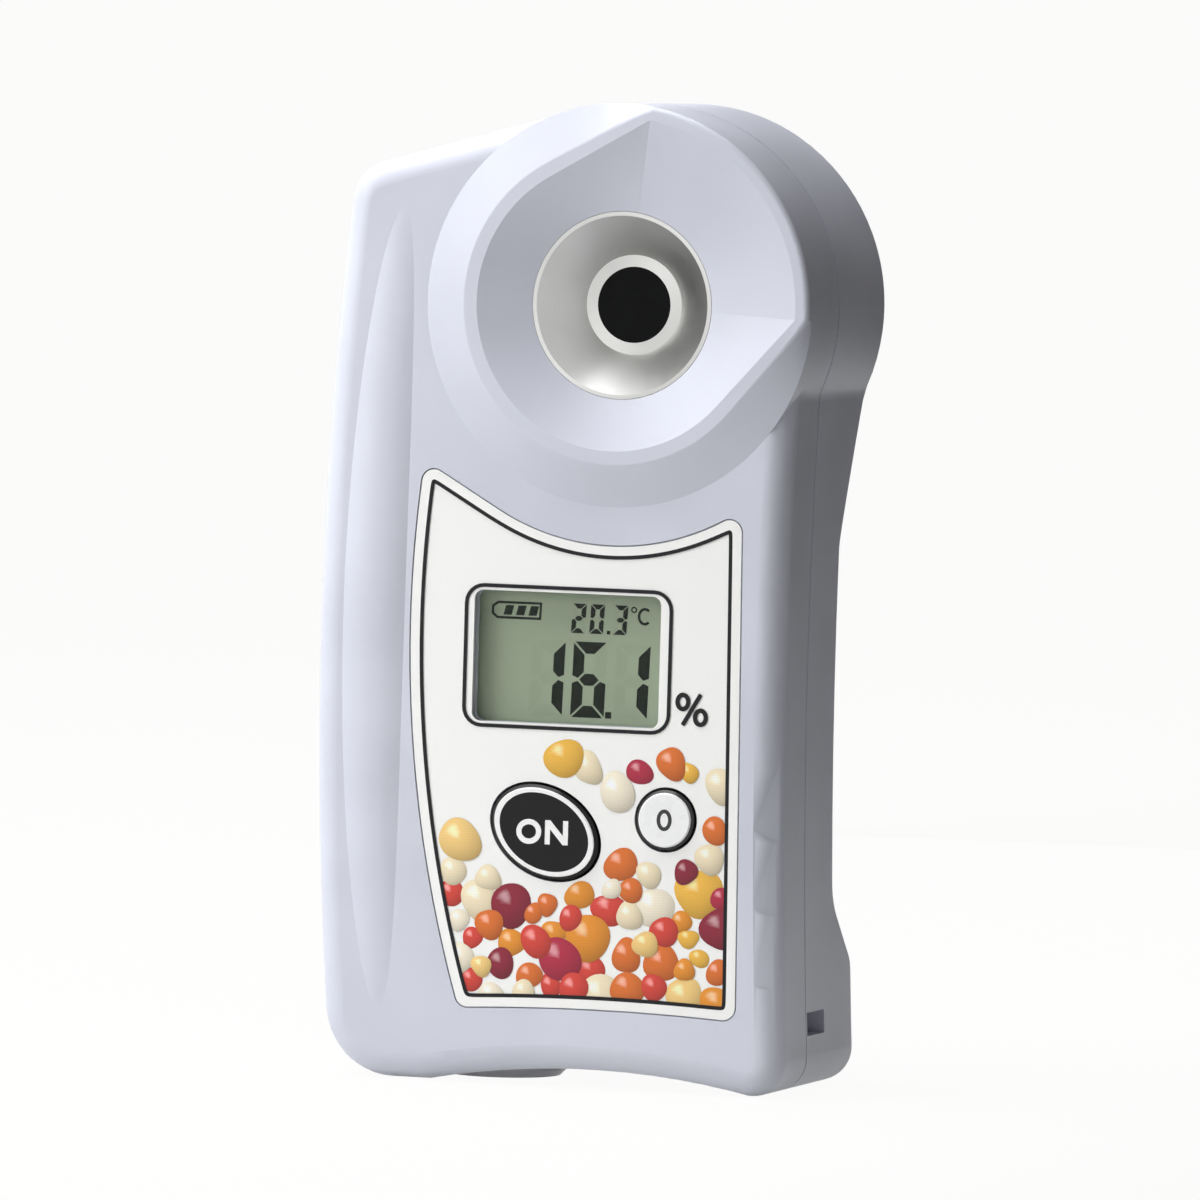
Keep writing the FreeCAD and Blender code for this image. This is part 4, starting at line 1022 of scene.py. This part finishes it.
class REFRACTOMETER_OT_studio(bpy.types.Operator):
    """Pale floor and backdrop, soft lights and the camera"""

    bl_idname = "refractometer.studio"
    bl_label = "Studio"

    def execute(self, context):
        studio = context.scene.refractometer_studio
        self.sweep(studio.floor)
        self.surroundings()
        for name, place, width in LAMPS:
            self.lamp(name, place, width, getattr(studio, name))
        # Dark wool felt on two cards off camera: it throws back almost no light
        felt = speckled("studio_card_felt_dark", ("#2B2723", "#1F1C19"), 40.0, 0.9, grain=2.0)
        for card in CARDS:
            self.card(felt, *card)
        self.camera(studio)
        context.scene.view_settings.view_transform = "Standard"
        return {"FINISHED"}

    def sheet(self, name, rows, finish):
        """A smooth sheet of the studio across rows of two points."""
        made = bmesh.new()
        rows = [[made.verts.new(point) for point in row] for row in rows]
        for a, b in zip(rows, rows[1:]):
            made.faces.new((a[0], a[1], b[1], b[0])).smooth = True
        sheet = linked_mesh(name, made, finish)
        return sheet

    def sweep(self, colour):
        """A floor that curves up into the backdrop."""
        half_width, bend_start, bend, top = 3.0, 1.2, 0.6, 3.0
        # The paper lies a hair under the foot
        low = -0.1 * MM
        turns = [math.radians(a) for a in range(10, 91, 10)]
        profile = [(-half_width, low), (bend_start, low)]
        profile += [(bend_start + bend * math.sin(a), low + bend - bend * math.cos(a)) for a in turns]
        profile += [(bend_start + bend, top)]
        rows = [[(-half_width, y, z), (half_width, y, z)] for y, z in profile]
        self.sheet("studio_sweep", rows, self.lit_paper(colour))

    def lit_paper(self, colour):
        """Matt paper with a faint drift of tone from its fibres, lit from behind where the camera looks."""
        finish, tree, shader, place = new_finish("studio_paper_matt")
        stops = [(0.3, toned(colour, 0.985)), (0.7, colour)]
        fibres = tone_drift(tree, place, width=40, detail=2, stops=stops)
        # The paper's colour is darkened to the right: painted shade on the floor, so that little light comes
        # up to that flank
        across = add_node(tree, "ShaderNodeSeparateXYZ", {"Vector": place}).outputs["X"]
        fall = {"Value": across, "From Min": 0.03, "From Max": 0.13, "To Min": 1.0, "To Max": 0.2}
        painted_floor_shade = add_node(tree, "ShaderNodeMapRange", fall, interpolation_type="SMOOTHSTEP").outputs["Result"]
        mixed = {0: 1.0, 6: fibres, 7: painted_floor_shade}
        shaded = add_node(tree, "ShaderNodeMix", mixed, data_type="RGBA", blend_type="MULTIPLY").outputs[2]
        set_inputs(tree, shader, {"Base Color": shaded, "Roughness": 0.9})
        # Seen by the camera, glass and metal, the paper is as bright as lit paper on a light table
        amount = add_node(tree, "ShaderNodeMath", {0: self.seen_rays(tree), 1: 0.95}, operation="MULTIPLY")
        glow = add_node(tree, "ShaderNodeEmission", {"Color": PAPER_GLOW})
        both = {0: amount.outputs[0], 1: shader.outputs[0], 2: glow.outputs[0]}
        output = next(node for node in tree.nodes if node.type == "OUTPUT_MATERIAL")
        set_inputs(tree, output, {"Surface": add_node(tree, "ShaderNodeMixShader", both).outputs[0]})
        return finish

    def seen_rays(self, tree):
        """One for rays from the camera and those that gloss and glass send on, otherwise nothing."""
        rays = add_node(tree, "ShaderNodeLightPath").outputs
        bare = {0: rays["Is Camera Ray"], 1: rays["Is Glossy Ray"]}
        either = add_node(tree, "ShaderNodeMath", bare, operation="MAXIMUM").outputs[0]
        with_glass = {0: either, 1: rays["Is Transmission Ray"]}
        return add_node(tree, "ShaderNodeMath", with_glass, operation="MAXIMUM").outputs[0]

    def card(self, finish, name, radius, start, end, height):
        """A card bent round the object between two angles, unseen by the camera."""
        foot, steps = 2 * MM, 12
        turns = [math.radians(start + (end - start) * i / steps) for i in range(steps + 1)]
        rows = [[(radius * math.cos(a), radius * math.sin(a), z) for z in (height, foot)] for a in turns]
        self.sheet(name, rows, finish).visible_camera = False

    def surroundings(self):
        """A bright room on the left and a dim one on the right, white where the camera looks."""
        world = bpy.data.worlds.new("studio_room")
        bpy.context.scene.world = world
        world.use_nodes = True
        tree = world.node_tree
        tree.nodes.clear()
        place = add_node(tree, "ShaderNodeTexCoord").outputs["Generated"]
        across = add_node(tree, "ShaderNodeSeparateXYZ", {"Vector": place}).outputs["X"]
        sides = add_node(tree, "ShaderNodeMapRange", {"Value": across, "From Min": -1.0}).outputs["Result"]
        room = add_node(tree, "ShaderNodeValToRGB", {"Fac": sides}, ROOM_TONES).outputs["Color"]
        lit = add_node(tree, "ShaderNodeBackground", {"Color": room})
        white = add_node(tree, "ShaderNodeBackground", {"Color": PAGE_GLOW})
        both = {0: self.seen_rays(tree), 1: lit.outputs[0], 2: white.outputs[0]}
        mixed = add_node(tree, "ShaderNodeMixShader", both).outputs[0]
        add_node(tree, "ShaderNodeOutputWorld", {"Surface": mixed})

    def lamp(self, name, place, width, watts):
        """A round soft light that faces the object."""
        data = bpy.data.lights.new(name, "AREA")
        data.shape, data.size, data.energy = "DISK", width, watts
        lamp = bpy.data.objects.new(name, data)
        lamp.location = place
        lamp.rotation_euler = (Vector(LAMP_TARGET) - Vector(place)).to_track_quat("-Z", "Y").to_euler()
        bpy.context.scene.collection.objects.link(lamp)

    def camera(self, studio):
        """A long lens at the photograph's angle, leaning as the object does in the picture."""
        a, e, roll = studio.azimuth, studio.elevation, studio.roll
        right = Vector((math.cos(a), math.sin(a), 0))
        up = Vector((-math.sin(a) * math.sin(e), math.cos(a) * math.sin(e), math.cos(e)))
        back = right.cross(up)
        right, up = right * math.cos(roll) + up * math.sin(roll), up * math.cos(roll) - right * math.sin(roll)
        target = Vector(OBJECT_MIDDLE) + right * PICTURE_RIGHT * MM - up * PICTURE_DOWN * MM
        data = bpy.data.cameras.new("camera")
        data.lens, data.sensor_width = studio.lens, 36
        data.clip_start, data.clip_end = 0.05, 20
        camera = bpy.data.objects.new("camera", data)
        turned = Matrix((right, up, back)).transposed().to_4x4()
        camera.matrix_world = Matrix.Translation(target + back * studio.distance) @ turned
        bpy.context.scene.collection.objects.link(camera)
        bpy.context.scene.camera = camera


PIECES = (
    "studio", "housing", "sample_stage", "label", "display", "keys", "fasteners", "electronics", "power",
)


class REFRACTOMETER_PT_finish(bpy.types.Panel):
    bl_label = "Refractometer"
    bl_space_type = "VIEW_3D"
    bl_region_type = "UI"
    bl_category = "Refractometer"

    def draw(self, context):
        for piece in PIECES:
            self.layout.operator("refractometer." + piece)
        for _, group in GROUPS:
            values = getattr(context.scene, group)
            box = self.layout.box()
            for key in values.bl_rna.properties.keys():
                if key not in ("rna_type", "name"):
                    box.prop(values, key)


CLASSES = (
    REFRACTOMETER_OT_housing,
    REFRACTOMETER_OT_sample_stage,
    REFRACTOMETER_OT_label,
    REFRACTOMETER_OT_display,
    REFRACTOMETER_OT_keys,
    REFRACTOMETER_OT_fasteners,
    REFRACTOMETER_OT_electronics,
    REFRACTOMETER_OT_power,
    REFRACTOMETER_OT_studio,
    REFRACTOMETER_PT_finish,
)


def register():
    for group, name in GROUPS:
        bpy.utils.register_class(group)
        setattr(bpy.types.Scene, name, PointerProperty(type=group))
    for cls in CLASSES:
        bpy.utils.register_class(cls)


def unregister():
    for cls in reversed(CLASSES):
        bpy.utils.unregister_class(cls)
    for group, name in reversed(GROUPS):
        delattr(bpy.types.Scene, name)
        bpy.utils.unregister_class(group)


def main():
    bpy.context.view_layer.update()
    register()
    for piece in PIECES:
        getattr(bpy.ops.refractometer, piece)()


if __name__ == "__main__":
    main()
